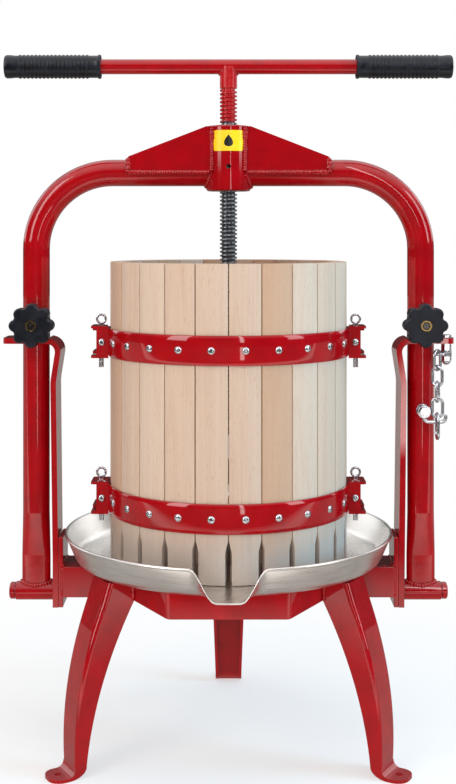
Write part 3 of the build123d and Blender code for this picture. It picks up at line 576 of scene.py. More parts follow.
@dataclass(frozen=True)
class Beech(Finish):
    """Planed beech with its grain along one axis, each piece toned by its own attribute, and greyed towards
    its foot as painted shade.
    """

    pale: Colour = (0.58, 0.46, 0.37)
    fleck: Colour = (0.36, 0.19, 0.10)
    # painted shade: the grey that the wood is mixed towards near its foot, for the shade under the lower
    # hoop
    painted_shade: Colour = (0.36, 0.36, 0.355)
    painted_shade_levels: Span = (0.275, 0.32)
    painted_shade_drift: float = 25 * MM
    painted_shade_share: float = 0.5
    fibre: Point = (330.0, 330.0, 3.2)
    figure: Point = (38.0, 38.0, 1.7)
    rays: Point = (1000.0, 1000.0, 95.0)
    tone_shift: float = 31.0
    bands: float = 42.0
    band_share: float = 0.10
    ray_span: Span = (0.63, 0.72)
    ray_share: float = 0.4
    stain_span: Span = (0.66, 0.78)
    stain_share: float = 0.35
    streak_span: Span = (0.32, 0.7)
    streak_share: float = 0.16
    roughness: Span = (0.52, 0.7)
    streak_relief: float = 0.12 * MM
    ray_relief: float = 0.05 * MM

    def build(self, graph: ShaderGraph) -> None:
        """Lay the wood."""
        tone = graph.add("ShaderNodeAttribute", {}, attribute_name="tone")["Fac"]
        shift = graph.math("MULTIPLY", tone, self.tone_shift)

        def grain(scale: Point, detail: float, twist: float) -> NodeSocket:
            """Read noise that starts elsewhere in each piece."""
            inputs = {0: graph.stretched(scale), 1: shift}
            return graph.noise(graph.out("ShaderNodeVectorMath", inputs, operation="ADD"), detail, twist)

        streak = grain(self.fibre, 5, 0.2)
        ring = grain(self.figure, 2, 0.6)
        ray = graph.remap(grain(self.rays, 1, 0.0), self.ray_span, (0.0, self.ray_share))
        bands = graph.math("SINE", graph.math("MULTIPLY", ring, self.bands))
        marks = [
            graph.remap(bands, (0.1, 1.0), (0.0, self.band_share)),
            ray,
            graph.remap(ring, self.stain_span, (0.0, self.stain_share)),
        ]
        base = graph.mix(tone, self.colour, self.pale)
        dark = graph.mix(self.streak_share, base, self.fleck)
        wood = graph.between(streak, self.streak_span, dark, base)
        for mark in marks:
            wood = graph.mix(mark, wood, self.fleck)
        # painted shade: below a ragged level the wood is mixed towards grey, darker towards the bottom, for
        # the shade that the lower hoop casts on the staves' feet
        shade_level = graph.math("ADD", graph.parts()[2], graph.math("MULTIPLY", ring, self.painted_shade_drift))
        painted_shade_amount = graph.remap(shade_level, self.painted_shade_levels, (self.painted_shade_share, 0.0))
        values = {
            "Base Color": graph.mix(painted_shade_amount, wood, self.painted_shade),
            "Roughness": graph.remap(streak, MIDDLE, self.roughness),
        }
        graph.paint(values)
        graph.bump(streak, self.streak_relief, 0.45)
        graph.bump(ray, self.ray_relief, 0.4)


RED = Enamel("red_enamel", Slot.RED_PAINT, (0.36, 0.0006, 0.004))
STAINLESS = BrushedSheet("brushed_stainless", Slot.STAINLESS, (0.90, 0.89, 0.87))
ZINC = BareMetal(
    "bright_zinc",
    Slot.ZINC,
    (0.70, 0.72, 0.77),
    (0.48, 0.50, 0.54),
    roughness=(0.15, 0.26),
    relief=0.006 * MM,
)
THREAD = ThreadSteel("oiled_thread_steel", Slot.SCREW_STEEL, (0.52, 0.54, 0.58))
FOOT_STEEL = BareMetal("turned_steel", Slot.SCREW_STEEL, (0.42, 0.43, 0.45), (0.20, 0.20, 0.21))
BRONZE = BareMetal("bronze_bush", Slot.BRONZE, (0.56, 0.36, 0.16), (0.36, 0.21, 0.08))
STUD_STEEL = BareMetal("dark_stud_steel", Slot.SCREW_STEEL, (0.16, 0.15, 0.14), (0.06, 0.06, 0.06))
BRASS = BareMetal("brass_insert", Slot.BRASS, (0.56, 0.39, 0.16), (0.30, 0.19, 0.07))
WORN_BLACK = (0.010, 0.012, 0.018)
KNOB_BLACK = Moulded("knob_plastic", Slot.BLACK_PLASTIC, WORN_BLACK, (0.004, 0.005, 0.009))
GRIP_BLACK = Moulded(
    "grip_rubber_skin", Slot.GRIP_RUBBER, WORN_BLACK, (0.003, 0.004, 0.007), roughness=(0.28, 0.42)
)
STAVE_BEECH = Beech("stave_beech", Slot.BEECH, (0.46, 0.27, 0.168))
BOARD_BEECH = Beech(
    "board_beech",
    Slot.BEECH,
    (0.66, 0.45, 0.28),
    fibre=(3.2, 330.0, 330.0),
    figure=(1.7, 38.0, 38.0),
    rays=(95.0, 1000.0, 1000.0),
)
YELLOW = Sticker("yellow_label_film", Slot.YELLOW_LABEL, (0.94, 0.62, 0.012), (0.8272, 0.5456, 0.01056))
PRINT_BLACK = Sticker("label_print", Slot.YELLOW_LABEL, (0.012, 0.012, 0.012), (0.01056, 0.01056, 0.01056))


def dress(piece: Object, finish: Finish) -> Object:
    """Give a piece one finish."""
    piece.data.materials.clear()
    piece.data.materials.append(finish.material())
    return piece


def dress_nodes(finish: Finish, *nodes: str) -> None:
    """Give CAD nodes that stay in view their finish."""
    for node in nodes:
        dress(frame["nodes"][node], finish)
        log.info("%s keeps its CAD shape, finish %s", node, finish.name)


def settle(piece: Object, body: str, finish: Finish, *nodes: str) -> None:
    """Finish a piece, let it ride on its body and the CAD nodes it stands for.

    Args:
        piece: The finished shape.
        body: The CAD body it moves with.
        finish: Its finish, which has the record's slot.
        nodes: CAD nodes that it replaces.
    """
    dress(piece, finish)
    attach(piece, body)
    if nodes:
        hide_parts(*nodes)
    log.info("%s rides on %s, %d faces", piece.name, body, len(piece.data.polygons))


def round_nodes(width: float, finish: Finish, *nodes: str) -> None:
    """Stand copies with rounded edges in for CAD nodes, each on the node's own body.

    Args:
        width: How far the rounding reaches from an edge.
        finish: The pieces' finish.
        nodes: The CAD nodes' names.
    """
    for node in nodes:
        source = frame["nodes"][node]
        form = bmesh.new()
        form.from_mesh(source.data)
        bmesh.ops.remove_doubles(form, verts=form.verts, dist=CAD_WELD)
        bmesh.ops.dissolve_limit(form, angle_limit=CAD_FLAT, verts=form.verts, edges=form.edges)
        bevel(form, sharp=35, width=width, clamp=True)
        piece = mesh_piece(f"{node}_rounded", form, smooth_angle=60)
        piece.modifiers.new("flat_faces", "WEIGHTED_NORMAL").keep_sharp = True
        mesh = evaluated(piece, piece.name)
        piece.modifiers.clear()
        piece.data = mesh
        settle(piece, source["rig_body"], finish, node)


def middle(node: str) -> Vector:
    """Give the middle of a CAD node's box."""
    low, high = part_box(node)
    return (low + high) / 2


def row_rule() -> GeometryGraph:
    """Build the rule that sets copies of a piece in a row round and along the Z axis.

    Returns:
        A tree that turns and lifts each copy on from the one before, with a random tone.
    """
    numbers = {label: "Float" for label in ("Rise", "Start", "Pitch")}
    others = {"Piece": "Object", "Count": "Int", "Origin": "Vector", "Seed": "Int"}
    graph = GeometryGraph("row of copies", {**others, **numbers})
    asked = graph.inputs
    index = graph.out("GeometryNodeInputIndex", {})
    lift = graph.out("ShaderNodeCombineXYZ", {2: graph.math("MULTIPLY", index, asked["Rise"])})
    place = graph.out("ShaderNodeVectorMath", {0: asked["Origin"], 1: lift}, operation="ADD")
    turn = graph.math("ADD", graph.math("MULTIPLY", index, asked["Pitch"]), asked["Start"])
    angles = graph.out("ShaderNodeCombineXYZ", {2: turn})
    inputs = {
        "Points": graph.out("GeometryNodePoints", {"Count": asked["Count"], "Position": place}),
        "Instance": graph.add("GeometryNodeObjectInfo", {"Object": asked["Piece"]})["Geometry"],
        "Rotation": graph.out("FunctionNodeEulerToRotation", {0: angles}),
    }
    copies = graph.out("GeometryNodeInstanceOnPoints", inputs)
    tone = graph.add("FunctionNodeRandomValue", {"Seed": asked["Seed"]}, data_type="FLOAT")[1]
    inputs = {"Geometry": copies, "Name": "tone", "Value": tone}
    settings = {"data_type": "FLOAT", "domain": "INSTANCE"}
    graph.end(graph.out("GeometryNodeStoreNamedAttribute", inputs, **settings))
    return graph


def weld_rule(steps: float = 4.0, drift_scale: float = 130.0, wave_share: float = 0.17) -> GeometryGraph:
    """Build the rule that lays a rippled weld bead along paths.

    Args:
        steps: Points along one ripple.
        drift_scale: Patterns per metre in the slow change of the bead's width.
        wave_share: The ripples' share of the width.

    Returns:
        A tree whose geometry input is a curve of one or more seams.
    """
    graph = GeometryGraph("weld bead", {"Width": "Float", "Ripple": "Float"})
    ripple = graph.inputs["Ripple"]
    inputs = {"Curve": graph.inputs["Geometry"], "Length": graph.math("DIVIDE", ripple, steps)}
    seam = graph.out("GeometryNodeResampleCurve", inputs, mode="LENGTH")
    along = graph.add("GeometryNodeSplineParameter", {})["Length"]
    turn = graph.math("DIVIDE", graph.math("MULTIPLY", along, 2 * pi), ripple)
    inputs = {"Vector": graph.out("GeometryNodeInputPosition", {}), "Scale": drift_scale, "Detail": 2.0}
    drift = graph.math("ADD", graph.out("ShaderNodeTexNoise", inputs), 0.5)
    wave = graph.math("MULTIPLY", graph.math("SINE", turn), wave_share)
    ring = graph.out("GeometryNodeCurvePrimitiveCircle", {"Resolution": 9, "Radius": 1.0})
    sweep = {
        "Curve": seam,
        "Profile Curve": ring,
        "Scale": graph.math("MULTIPLY", graph.math("ADD", wave, drift), graph.inputs["Width"]),
        "Fill Caps": True,
    }
    graph.end(graph.out("GeometryNodeCurveToMesh", sweep))
    return graph


def turned(
    name: str,
    outline: list[Span],
    arc: Span = (0.0, 360.0),
    steps: int = 96,
    place: Matrix = Matrix.Identity(4),
) -> Object:
    """Turn a closed outline round the Z axis.

    Args:
        name: The piece's name.
        outline: Its radius and height points.
        arc: The start and the sweep of the turn, in degrees.
        steps: Faces along the sweep.
        place: Where the turned form goes.

    Returns:
        The turned piece.
    """
    whole = arc[1] >= 360.0
    rows = []
    for angle in spaced(arc[1], steps)[: -1 if whole else None]:
        spin = place @ Matrix.Rotation(radians(arc[0] + angle), 4, "Z")
        rows.append([spin @ Vector((radius, 0, height)) for radius, height in outline])
    return mesh_piece(name, lofted(rows, loop=whole))


def path_curve(name: str, paths: Paths, closed: bool = False) -> Object:
    """Draw paths as one curve object.

    Args:
        name: The curve's name.
        paths: The points of each path.
        closed: Whether each path is a loop.

    Returns:
        The curve object.
    """
    curve = bpy.data.curves.new(name, "CURVE")
    curve.dimensions = "3D"
    for path in paths:
        spline = curve.splines.new("POLY")
        spline.points.add(len(path) - 1)
        for point, place in zip(spline.points, path):
            point.co = (*place, 1.0)
        spline.use_cyclic_u = closed
    return linked(curve, name)


def chain_link(length: float, width: float, wire: float) -> Object:
    """Bend a chain link that hangs in the XZ plane from the origin.

    Args:
        length: Its outside length.
        width: Its outside width.
        wire: Its wire's diameter.

    Returns:
        The link as a mesh object.
    """
    bow = (width - wire) / 2
    drop = length - wire
    turns = spaced(pi, 12)
    path = [(bow * cos(turn), 0.0, bow * sin(turn) - bow) for turn in turns]
    path += [(-bow * cos(turn), 0.0, bow - drop - bow * sin(turn)) for turn in turns]
    holder = path_curve("link_pattern", [path], closed=True)
    holder.data.bevel_depth = wire / 2
    holder.data.bevel_resolution = 4
    mesh = evaluated(holder, "link_pattern")
    bpy.data.objects.remove(holder)
    mesh.polygons.foreach_set("use_smooth", [True] * len(mesh.polygons))
    return linked(mesh, "link_pattern")


@dataclass
class Rules:
    """The Geometry Nodes rules that several sub-assemblies share."""

    row: GeometryGraph
    weld: GeometryGraph

    def copies(
        self, name: str, pattern: Object, count: int, turn: Span, seed: int, origin: Point, rise: float = 0.0
    ) -> Object:
        """Set copies of a pattern in a row.

        Args:
            name: The row's name.
            pattern: The piece to copy.
            count: How many copies.
            turn: The first copy's angle and the angle from copy to copy, in degrees.
            seed: The seed of the copies' tones.
            origin: Where the first copy's origin goes.
            rise: The step up from copy to copy.

        Returns:
            The row as one piece.
        """
        start, pitch = (radians(angle) for angle in turn)
        values = {"Count": count, "Origin": origin, "Rise": rise, "Start": start, "Pitch": pitch}
        return self.row.make(name, Piece=pattern, Seed=seed, **values)

    def welds(
        self, name: str, body: str, seams: Paths, width: float, ripple: float = 3.2 * MM
    ) -> None:
        """Lay painted weld beads.

        Args:
            name: The piece's name.
            body: The CAD body that the welds ride on.
            seams: The paths of the beads.
            width: Half the width of a bead.
            ripple: The pitch of its ripples.
        """
        holder = path_curve(f"{name}_seams", seams)
        settle(self.weld.make(name, holder, Width=width, Ripple=ripple), body, RED)


@dataclass(frozen=True)
class Window:
    """A bright window that gloss picks up, as angles round the press and sines of its heights."""

    azimuth: float
    half_width: float
    foot: float
    head: float
    strength: float


@dataclass(frozen=True)
class Lamp:
    """A square soft lamp, with its power in watts."""

    name: str
    place: Point
    size: float
    power: float
    colour: Colour


@dataclass
class Studio:
    """A plain pale floor, soft light and a camera at the photograph's angle."""

    distance: float = 1.620
    height: float = 0.639
    focal_pixels: float = 1275.0
    image: tuple[int, int] = (456, 784)
    axis_column: float = 228.5
    horizon_row: float = 236.0
    sensor: float = 36.0
    floor_radius: float = 12.0
    floor_paint: Colour = (0.9, 0.9, 0.9)
    floor_roughness: float = 0.8
    shade_radius: Span = (0.22, 0.8)
    floor_white: float = 0.55
    floor_bounce: float = 0.9
    ambient: float = 0.54
    floor_gleam: tuple[float, float, float] = (0.12, 1.7, 0.40)
    gleam_depths: tuple[float, ...] = (-1.0, -0.62, -0.46, -0.30)
    gleam_tint: Colour = (1.0, 0.93, 0.87)
    strip: Span = (-2.4, -2.1)
    soft_edge: float = 0.02
    ceiling: Span = (0.04, 1.5)
    ceiling_heights: Span = (0.3, 0.8)
    windows: tuple[Window, ...] = (
        Window(0.215, 0.022, 0.02, 0.8, 7.0),
        Window(-0.85, 0.16, 0.05, 0.7, 5.5),
        Window(1.15, 0.14, 0.05, 0.6, 5.0),
        Window(-2.2, 0.3, 0.05, 0.5, 1.6),
        Window(2.3, 0.3, 0.05, 0.5, 1.6),
    )
    lamps: tuple[Lamp, ...] = (
        Lamp("key_light", (-1.7, -2.0, 1.9), 1.3, 31.0, (1.0, 0.91, 0.80)),
        Lamp("fill_light", (2.4, -0.6, 1.1), 1.1, 68.0, (0.34, 0.73, 1.0)),
        Lamp("low_light", (-0.2, -1.8, 0.12), 1.0, 14.0, (1.0, 0.90, 0.84)),
        Lamp("top_light", (0.2, -0.3, 2.5), 1.2, 16.0, WHITE),
    )

    def build(self) -> None:
        """Set the stage."""
        self.camera()
        self.floor()
        self.world()
        for lamp in self.lamps:
            self.hang(lamp)
        bpy.context.scene.view_settings.view_transform = "Standard"

    def camera(self) -> None:
        """Stand a level camera in front of the spout, with the lens shifted down to the object."""
        data = bpy.data.cameras.new("front_camera")
        long_side = max(self.image)
        data.sensor_width = self.sensor
        data.lens = self.focal_pixels / long_side * self.sensor
        data.shift_x = (self.image[0] / 2 - self.axis_column) / long_side
        data.shift_y = (self.horizon_row - self.image[1] / 2) / long_side
        camera = linked(data, "front_camera")
        camera.location = (0.0, -self.distance, self.height)
        camera.rotation_euler = (radians(90), 0.0, 0.0)
        bpy.context.scene.camera = camera

    def floor(self) -> None:
        """Lay a round floor that takes the shadow near the press and is plain white further out."""
        form = bmesh.new()
        bmesh.ops.create_circle(form, cap_ends=True, segments=64, radius=self.floor_radius)
        floor = mesh_piece("studio_floor", form)
        graph = ShaderGraph("studio_floor_paint")
        graph.paint({"Base Color": (*self.floor_paint, 1.0), "Roughness": self.floor_roughness})
        gloss = graph.ray("Glossy")
        inputs = {
            "Color": graph.mix(gloss, WHITE, self.gleam_tint),
            "Strength": graph.out("ShaderNodeMix", {0: gloss, 2: 1.0, 3: self.gleam(graph)}),
        }
        glow = graph.out("ShaderNodeEmission", inputs)
        clear = graph.remap(graph.length(WHITE), self.shade_radius, (self.floor_white, 1.0))
        bounce = graph.math("MULTIPLY", graph.ray("Diffuse"), self.floor_bounce)
        straight = graph.math("MULTIPLY", clear, self.seen(graph))
        cover = graph.math("MAXIMUM", graph.math("MAXIMUM", straight, bounce), gloss)
        both = graph.out("ShaderNodeMixShader", {0: cover, 1: graph.surface.outputs[0], 2: glow})
        graph.feed(graph.tree.nodes["Material Output"].inputs["Surface"], both)
        floor.data.materials.append(graph.material)

    def gleam(self, graph: ShaderGraph) -> NodeSocket:
        """Give the floor's brightness in gloss: a pale band in front, and far off a window's streak.

        Args:
            graph: The floor's material.

        Returns:
            The brightness by place.
        """
        parts = graph.parts()
        far, bright, near = self.floor_gleam
        outer, inner = self.gleam_depths[:2], self.gleam_depths[2:]
        front = graph.remap(parts[1], outer, (far, bright))
        back = graph.remap(parts[1], inner, (bright, near))
        lit = graph.remap(parts[1], self.strip, (1.0, 0.0))
        strip = graph.math("MULTIPLY", self.pane(graph, parts, self.windows[0]), lit)
        return graph.math("ADD", graph.math("MINIMUM", front, back), strip)

    def seen(self, graph: Graph) -> NodeSocket:
        """Give 1 for rays that the eye follows straight or through glass."""
        return graph.math("MAXIMUM", graph.ray("Camera"), graph.ray("Transmission"))

    def room(self, graph: Graph) -> NodeSocket:
        """Give the brightness of the room that gloss shows: dim walls, a pale ceiling and windows.

        Args:
            graph: The world's tree.

        Returns:
            The brightness in a ray's direction.
        """
        heading = graph.add("ShaderNodeTexCoord", {})["Generated"]
        parts = graph.add("ShaderNodeSeparateXYZ", {0: heading})
        bright = graph.remap(parts[2], self.ceiling_heights, self.ceiling)
        for window in self.windows:
            above = graph.remap(parts[2], (window.foot, window.foot + self.soft_edge), FULL)
            below = graph.remap(parts[2], (window.head, window.head + self.soft_edge), (1.0, 0.0))
            tall = graph.math("MULTIPLY", above, below)
            lit = graph.math("MULTIPLY", self.pane(graph, parts, window), tall)
            bright = graph.math("ADD", bright, lit)
        return bright

    def pane(self, graph: Graph, parts: NodeOutputs, window: Window) -> NodeSocket:
        """Give a window's brightness by the angle round the press alone.

        Args:
            graph: The tree that asks.
            parts: X, Y and Z of a place or a direction.
            window: The window.

        Returns:
            Its strength within its width, and 0 beside it.
        """
        azimuth = graph.math("ARCTAN2", parts[0], graph.math("MULTIPLY", parts[1], -1.0))
        aside = graph.math("ABSOLUTE", graph.math("SUBTRACT", azimuth, window.azimuth))
        edges = (window.half_width, window.half_width + self.soft_edge)
        return graph.remap(aside, edges, (window.strength, 0.0))

    def world(self) -> None:
        """Surround the press with a white that lights it evenly, and with a room for its gloss."""
        world = bpy.data.worlds.new("white_room")
        world.use_nodes = True
        graph = Graph(world.node_tree)
        plain = graph.remap(self.seen(graph), FULL, (self.ambient, 1.0))
        inputs = {0: graph.ray("Glossy"), 2: plain, 3: self.room(graph)}
        background = graph.tree.nodes["Background"].inputs
        graph.feed(background["Color"], (*WHITE, 1.0))
        graph.feed(background["Strength"], graph.out("ShaderNodeMix", inputs))
        bpy.context.scene.world = world

    def hang(self, lamp: Lamp) -> None:
        """Hang a lamp that faces the middle of the press and leaves gloss to the room.

        Args:
            lamp: The lamp.
        """
        data = bpy.data.lights.new(lamp.name, "AREA")
        data.size = lamp.size
        data.energy = lamp.power
        data.color = lamp.colour
        light = linked(data, lamp.name)
        light.location = lamp.place
        light.visible_glossy = False
        centre = (CAD_BOX[0] + CAD_BOX[1]) / 2
        light.rotation_euler = (centre - Vector(lamp.place)).to_track_quat("-Z", "Y").to_euler()


@dataclass
class Stand:
    """Beam, ring, legs and brackets, with the welds that hold them."""

    rules: Rules
    rounding: float = 1.2 * MM
    bead: float = 2.2 * MM
    leg_azimuths: tuple[float, ...] = (210.0, 330.0, 90.0)
    leg_seam_radius: float = 0.1462
    leg_half_width: float = 0.0254
    leg_seam_ends: Span = (1.0 * MM, -7.0 * MM)
    beam_half_width: float = 0.0252
    beam_end: float = 0.2075
    beam_levels: Span = (0.188, 0.226)
    beam_corner: float = 1.0 * MM

    def build(self) -> None:
        """Round and paint the steelwork, then weld it."""
        round_nodes(self.rounding, RED, "base_beam", "pan_ring")
        for node in ("side_bracket", "leg_front"):
            round_nodes(self.rounding, RED, *(side.of(node) for side in Side))
        round_nodes(self.rounding, RED, "leg_rear")
        dress_nodes(RED, *(side.of("pivot_pin") for side in Side))
        self.rules.welds("stand_welds", "base", self.seams(), self.bead)

    def seams(self) -> Paths:
        """Give the seams up both edges of each leg's top, and those of the beam on its end plates.

        Returns:
            The seams' paths.
        """
        levels = [end.z + gap for end, gap in zip(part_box("pan_ring"), self.leg_seam_ends)]
        seams = []
        for azimuth, side in product(self.leg_azimuths, Side):
            spin = Matrix.Rotation(radians(azimuth), 3, "Z")
            edge = (self.leg_seam_radius, side.value * self.leg_half_width)
            seams.append([tuple(spin @ Vector((*edge, level))) for level in levels])
        depths = (-self.beam_half_width, self.beam_half_width)
        foot, head = self.beam_levels
        inset = (foot + self.beam_corner, head - self.beam_corner)
        for side in Side:
            end = side.value * self.beam_end
            seams += [[(end, depth, level) for depth in depths] for level in (foot, head)]
            seams += [[(end, depth, level) for level in inset] for depth in depths]
        return seams


@dataclass
class ArchFrame:
    """The tilting arch: tubes, boss, gussets, sleeves and the label at its oil hole."""

    rules: Rules
    rounding: float = 1.0 * MM
    bead: float = 2.9 * MM
    blob: float = 3.5 * MM
    blob_length: float = 16.0 * MM
    blob_ripple: float = 5.5 * MM
    tube_radius: float = 16.9 * MM
    boss_radius: float = 28.0 * MM
    boss_gap: float = 1.2 * MM
    gusset_half_width: float = 19.9 * MM
    gusset_reach: float = 0.126
    edge_gap: float = 0.6 * MM
    edge_foot: float = 2.0 * MM
    toe_gap: float = 0.8 * MM
    side_start: float = 4.0 * MM
    tube_drop: float = 59.0 * MM
    sleeve_radius: float = 11.5 * MM
    sleeve_shift: float = 1.5 * MM
    flat_half: Span = (18.0 * MM, 8.0 * MM)
    drop_height: float = 15.0 * MM
    drop_scale: float = 15.5 * MM
    drop_point: float = 0.6
    drop_grid: tuple[int, int] = (24, 6)
    print_lift: float = 0.06 * MM

    def build(self) -> None:
        """Paint the arch, weld it and print the label."""
        seams, ends = [], []
        for side in Side:
            dress_nodes(RED, side.of("arch_tube"))
            round_nodes(self.rounding, RED, side.of("gusset"), side.of("pivot_sleeve"))
            seams += self.seams(side)
            ends += self.seam_ends(side.value)
        dress_nodes(RED, "screw_boss")
        dress_nodes(BRONZE, "nut_bush")
        dress_nodes(YELLOW, "oil_label")
        self.rules.welds("arch_welds", "arch", seams, self.bead)
        self.rules.welds("arch_weld_ends", "arch", ends, self.blob, self.blob_ripple)
        settle(self.oil_drop(), "arch", PRINT_BLACK)

    def heights(self) -> Span:
        """Give the heights of the tubes' middle line at the boss and of the gussets' top."""
        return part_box("screw_boss")[1].z - self.tube_drop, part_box("gusset_right")[1].z

    def seams(self, side: Side) -> Paths:
        """Give the weld seams on one side: along the gusset, round the tube and on the pivot sleeve.

        Args:
            side: The side of the press.

        Returns:
            The seams' paths.
        """
        level, top = self.heights()
        sign, tube, wide = side.value, self.tube_radius, self.gusset_half_width
        meet = chord(self.boss_radius, wide)
        close, inner = sign * (meet + self.boss_gap), sign * (meet + self.side_start)
        toe = sign * self.gusset_reach
        seams = []
        for front in (-1, 1):
            edge = front * (wide + self.edge_gap)
            seams.append([(close, edge, level + self.edge_foot), (close, edge, top)])
            seams.append([(x, front * wide, level) for x in (inner, toe)])
        over, under, saddle = [], [], []
        for turn in spaced(pi, 16):
            aside, lift = -cos(turn), tube * sin(turn)
            over.append((toe + sign * self.toe_gap, wide * aside, level + lift))
            under.append((sign * chord(self.boss_radius, tube * aside), tube * aside, level - lift))
        pivot = middle("pivot_pin_right").z
        centre = middle(side.of("pivot_sleeve")).x - sign * self.sleeve_shift
        across, deep = self.flat_half
        for turn in spaced(2 * pi, 40):
            y = deep * sin(turn)
            saddle.append((centre + across * cos(turn), y, pivot + chord(self.sleeve_radius, y)))
        return seams + [over, under, saddle]

    def seam_ends(self, sign: int) -> Paths:
        """Give the thick ends of the front seams on one side, at the boss and at the gusset's toe.

        Args:
            sign: The sign of X on that side.

        Returns:
            Short paths.
        """
        level, top = self.heights()
        wide, toe = self.gusset_half_width, sign * self.gusset_reach
        close = sign * (chord(self.boss_radius, wide) + self.boss_gap)
        return [
            [(close, -wide, top - self.blob_length), (close, -wide, top - self.blob)],
            [(toe, -wide, level + self.blob), (toe, -wide + self.blob, level + self.tube_radius)],
            [(toe - sign * self.blob_length, -wide, level), (toe, -wide, level)],
        ]

    def oil_drop(self) -> Object:
        """Draw a plain oil drop that lies on the label.

        Returns:
            The print as a thin sheet of faces.
        """
        low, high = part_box("oil_label")
        radius = -low.y + self.print_lift
        foot = (low.z + high.z - self.drop_height) / 2
        rows, columns = self.drop_grid
        grid = []
        for share in spaced(1.0, rows):
            half = self.drop_scale * (share * (1 - share)) ** 0.5 * (1 - share) ** self.drop_point
            level = foot + share * self.drop_height
            angles = [half * (2 * part - 1) / radius for part in spaced(1.0, columns)]
            grid.append([(radius * sin(angle), -radius * cos(angle), level) for angle in angles])
        return mesh_piece("label_oil_drop", lofted(grid, opened=True))


@dataclass
class ScrewDrive:
    """The screw, its T-handle with ribbed grips, and the pressure foot."""

    rules: Rules
    grip_radius: float = 14.1 * MM
    flange_radius: float = 15.3 * MM
    rib_height: float = 1.1 * MM
    rib_pitch: float = 5.0 * MM
    rib_form: tuple[Span, ...] = ((0.0, 0.0), (0.12, 0.0), (0.3, 0.8), (0.5, 1.0), (0.7, 0.8), (0.88, 0.0))
    plain_end: float = 15.0 * MM
    plain_taper: float = 2.0 * MM
    end_form: tuple[Span, ...] = ((0.7, 7.0), (0.7, 2.5), (-0.6, 0.4), (-2.5, 0.0))
    flange: float = 3.5 * MM
    flange_round: float = 0.6 * MM
    flange_foot: float = 0.8 * MM
    bore_gap: float = 0.1 * MM
    end_wall: float = 4.0 * MM
    bar_radius: float = 9.5 * MM
    collar_radius: float = 11.0 * MM
    collar_dip: float = 0.3 * MM
    bead: float = 1.7 * MM
    ripple: float = 2.6 * MM

    def build(self) -> None:
        """Finish the screw, the handle and the foot."""
        dress_nodes(THREAD, "press_screw")
        dress_nodes(RED, "handle_bar")
        dress_nodes(FOOT_STEEL, "pressure_foot", "foot_pins")
        for side in Side:
            settle(self.grip(side.of("grip"), side), "screw", GRIP_BLACK, side.of("grip"))
        self.rules.welds("handle_weld", "screw", [self.collar_seam()], self.bead, self.ripple)

    def grip(self, node: str, side: Side) -> Object:
        """Turn one grip, closed at its outer end and ribbed between its plain ends.

        Args:
            node: The CAD node that it stands for.
            side: The side of the press that it is on.

        Returns:
            The grip.
        """
        low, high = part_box(node)
        length = high.x - low.x
        ribs = int((length - 2 * self.plain_end) / self.rib_pitch)
        body, skirt, ease = self.grip_radius, self.flange_radius, self.flange_round
        bore = self.bar_radius + self.bore_gap
        outline = [(bore, 0.0), (skirt - ease, 0.0), (skirt, ease), (skirt, self.flange - ease)]
        outline += [(skirt - ease, self.flange), (body, self.flange + self.flange_foot)]
        for rib in range(ribs):
            start = self.plain_end + rib * self.rib_pitch
            for share, rise in self.rib_form:
                outline.append((body + rise * self.rib_height, start + share * self.rib_pitch))
        outline.append((body, length - self.plain_end + self.plain_taper))
        for swell, back in self.end_form:
            outline.append((body + swell * MM, length - back * MM))
        floor = length - self.end_wall
        outline += [(0.0, length), (0.0, floor), (bore, floor)]
        inner = low.x if side is Side.RIGHT else high.x
        lie = Matrix.Rotation(radians(90 * side.value), 4, "Y")
        place = Matrix.Translation((inner, 0.0, middle("handle_bar").z)) @ lie
        return turned(f"{node}_ribbed", outline, steps=48, place=place)

    def collar_seam(self) -> list[Point]:
        """Give the seam where the collar meets the handle bar.

        Returns:
            The seam's path.
        """
        level = middle("handle_bar").z
        seam = []
        for turn in spaced(2 * pi, 40):
            y = (self.bar_radius - self.collar_dip) * sin(turn)
            seam.append((self.collar_radius * cos(turn), y, level - chord(self.bar_radius, y)))
        return seam


@dataclass
class Locks:
    """The star knobs that hold the arch upright, with inserts, studs and washers."""

    def build(self) -> None:
        """Finish the knobs' pieces."""
        for side in Side:
            dress_nodes(KNOB_BLACK, side.of("star_knob"))
            dress_nodes(BRASS, side.of("knob_insert"))
            dress_nodes(STUD_STEEL, side.of("lock_stud"))
            dress_nodes(ZINC, side.of("knob_washer"))


@dataclass
class StopChain:
    """The chain that stops the tilt, from its anchor to the hook on the tube."""

    rules: Rules
    wire: float = 4.0 * MM
    link: Span = (28.0 * MM, 17.0 * MM)
    end_link: Span = (35.0 * MM, 20.0 * MM)
    links: int = 4
    first_azimuth: float = 225.0
    end_azimuth: float = 90.0
    turn: float = 101.25
    step: float = 19.7 * MM
    rounding: float = 0.5 * MM
    seed: int = 3

    def build(self) -> None:
        """Bend the links and finish the fittings."""
        round_nodes(self.rounding, ZINC, "anchor_bolt", "anchor_washers", "hook_washers", "hook_nut")
        dress_nodes(ZINC, "anchor_cap_nut", "chain_hook", "hook_bolt", "anchor_link")
        self.run("chain_link_run", "chain_links", self.link, self.links, self.first_azimuth)
        self.run("chain_last_link", "chain_end_link", self.end_link, 1, self.end_azimuth)

    def run(self, name: str, node: str, size: Span, count: int, azimuth: float) -> None:
        """Hang a run of like links.

        Args:
            name: The piece's name.
            node: The CAD node that it stands for.
            size: A link's length and width.
            count: How many links.
            azimuth: The way that the first link faces, in degrees.
        """
        hang = middle("chain_end_link")
        top = (hang.x, hang.y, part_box(node)[1].z - self.wire / 2)
        pattern = chain_link(*size, self.wire)
        run = self.rules.copies(name, pattern, count, (azimuth, self.turn), self.seed, top, -self.step)
        bpy.data.objects.remove(pattern)
        settle(run, "chain", ZINC, node)


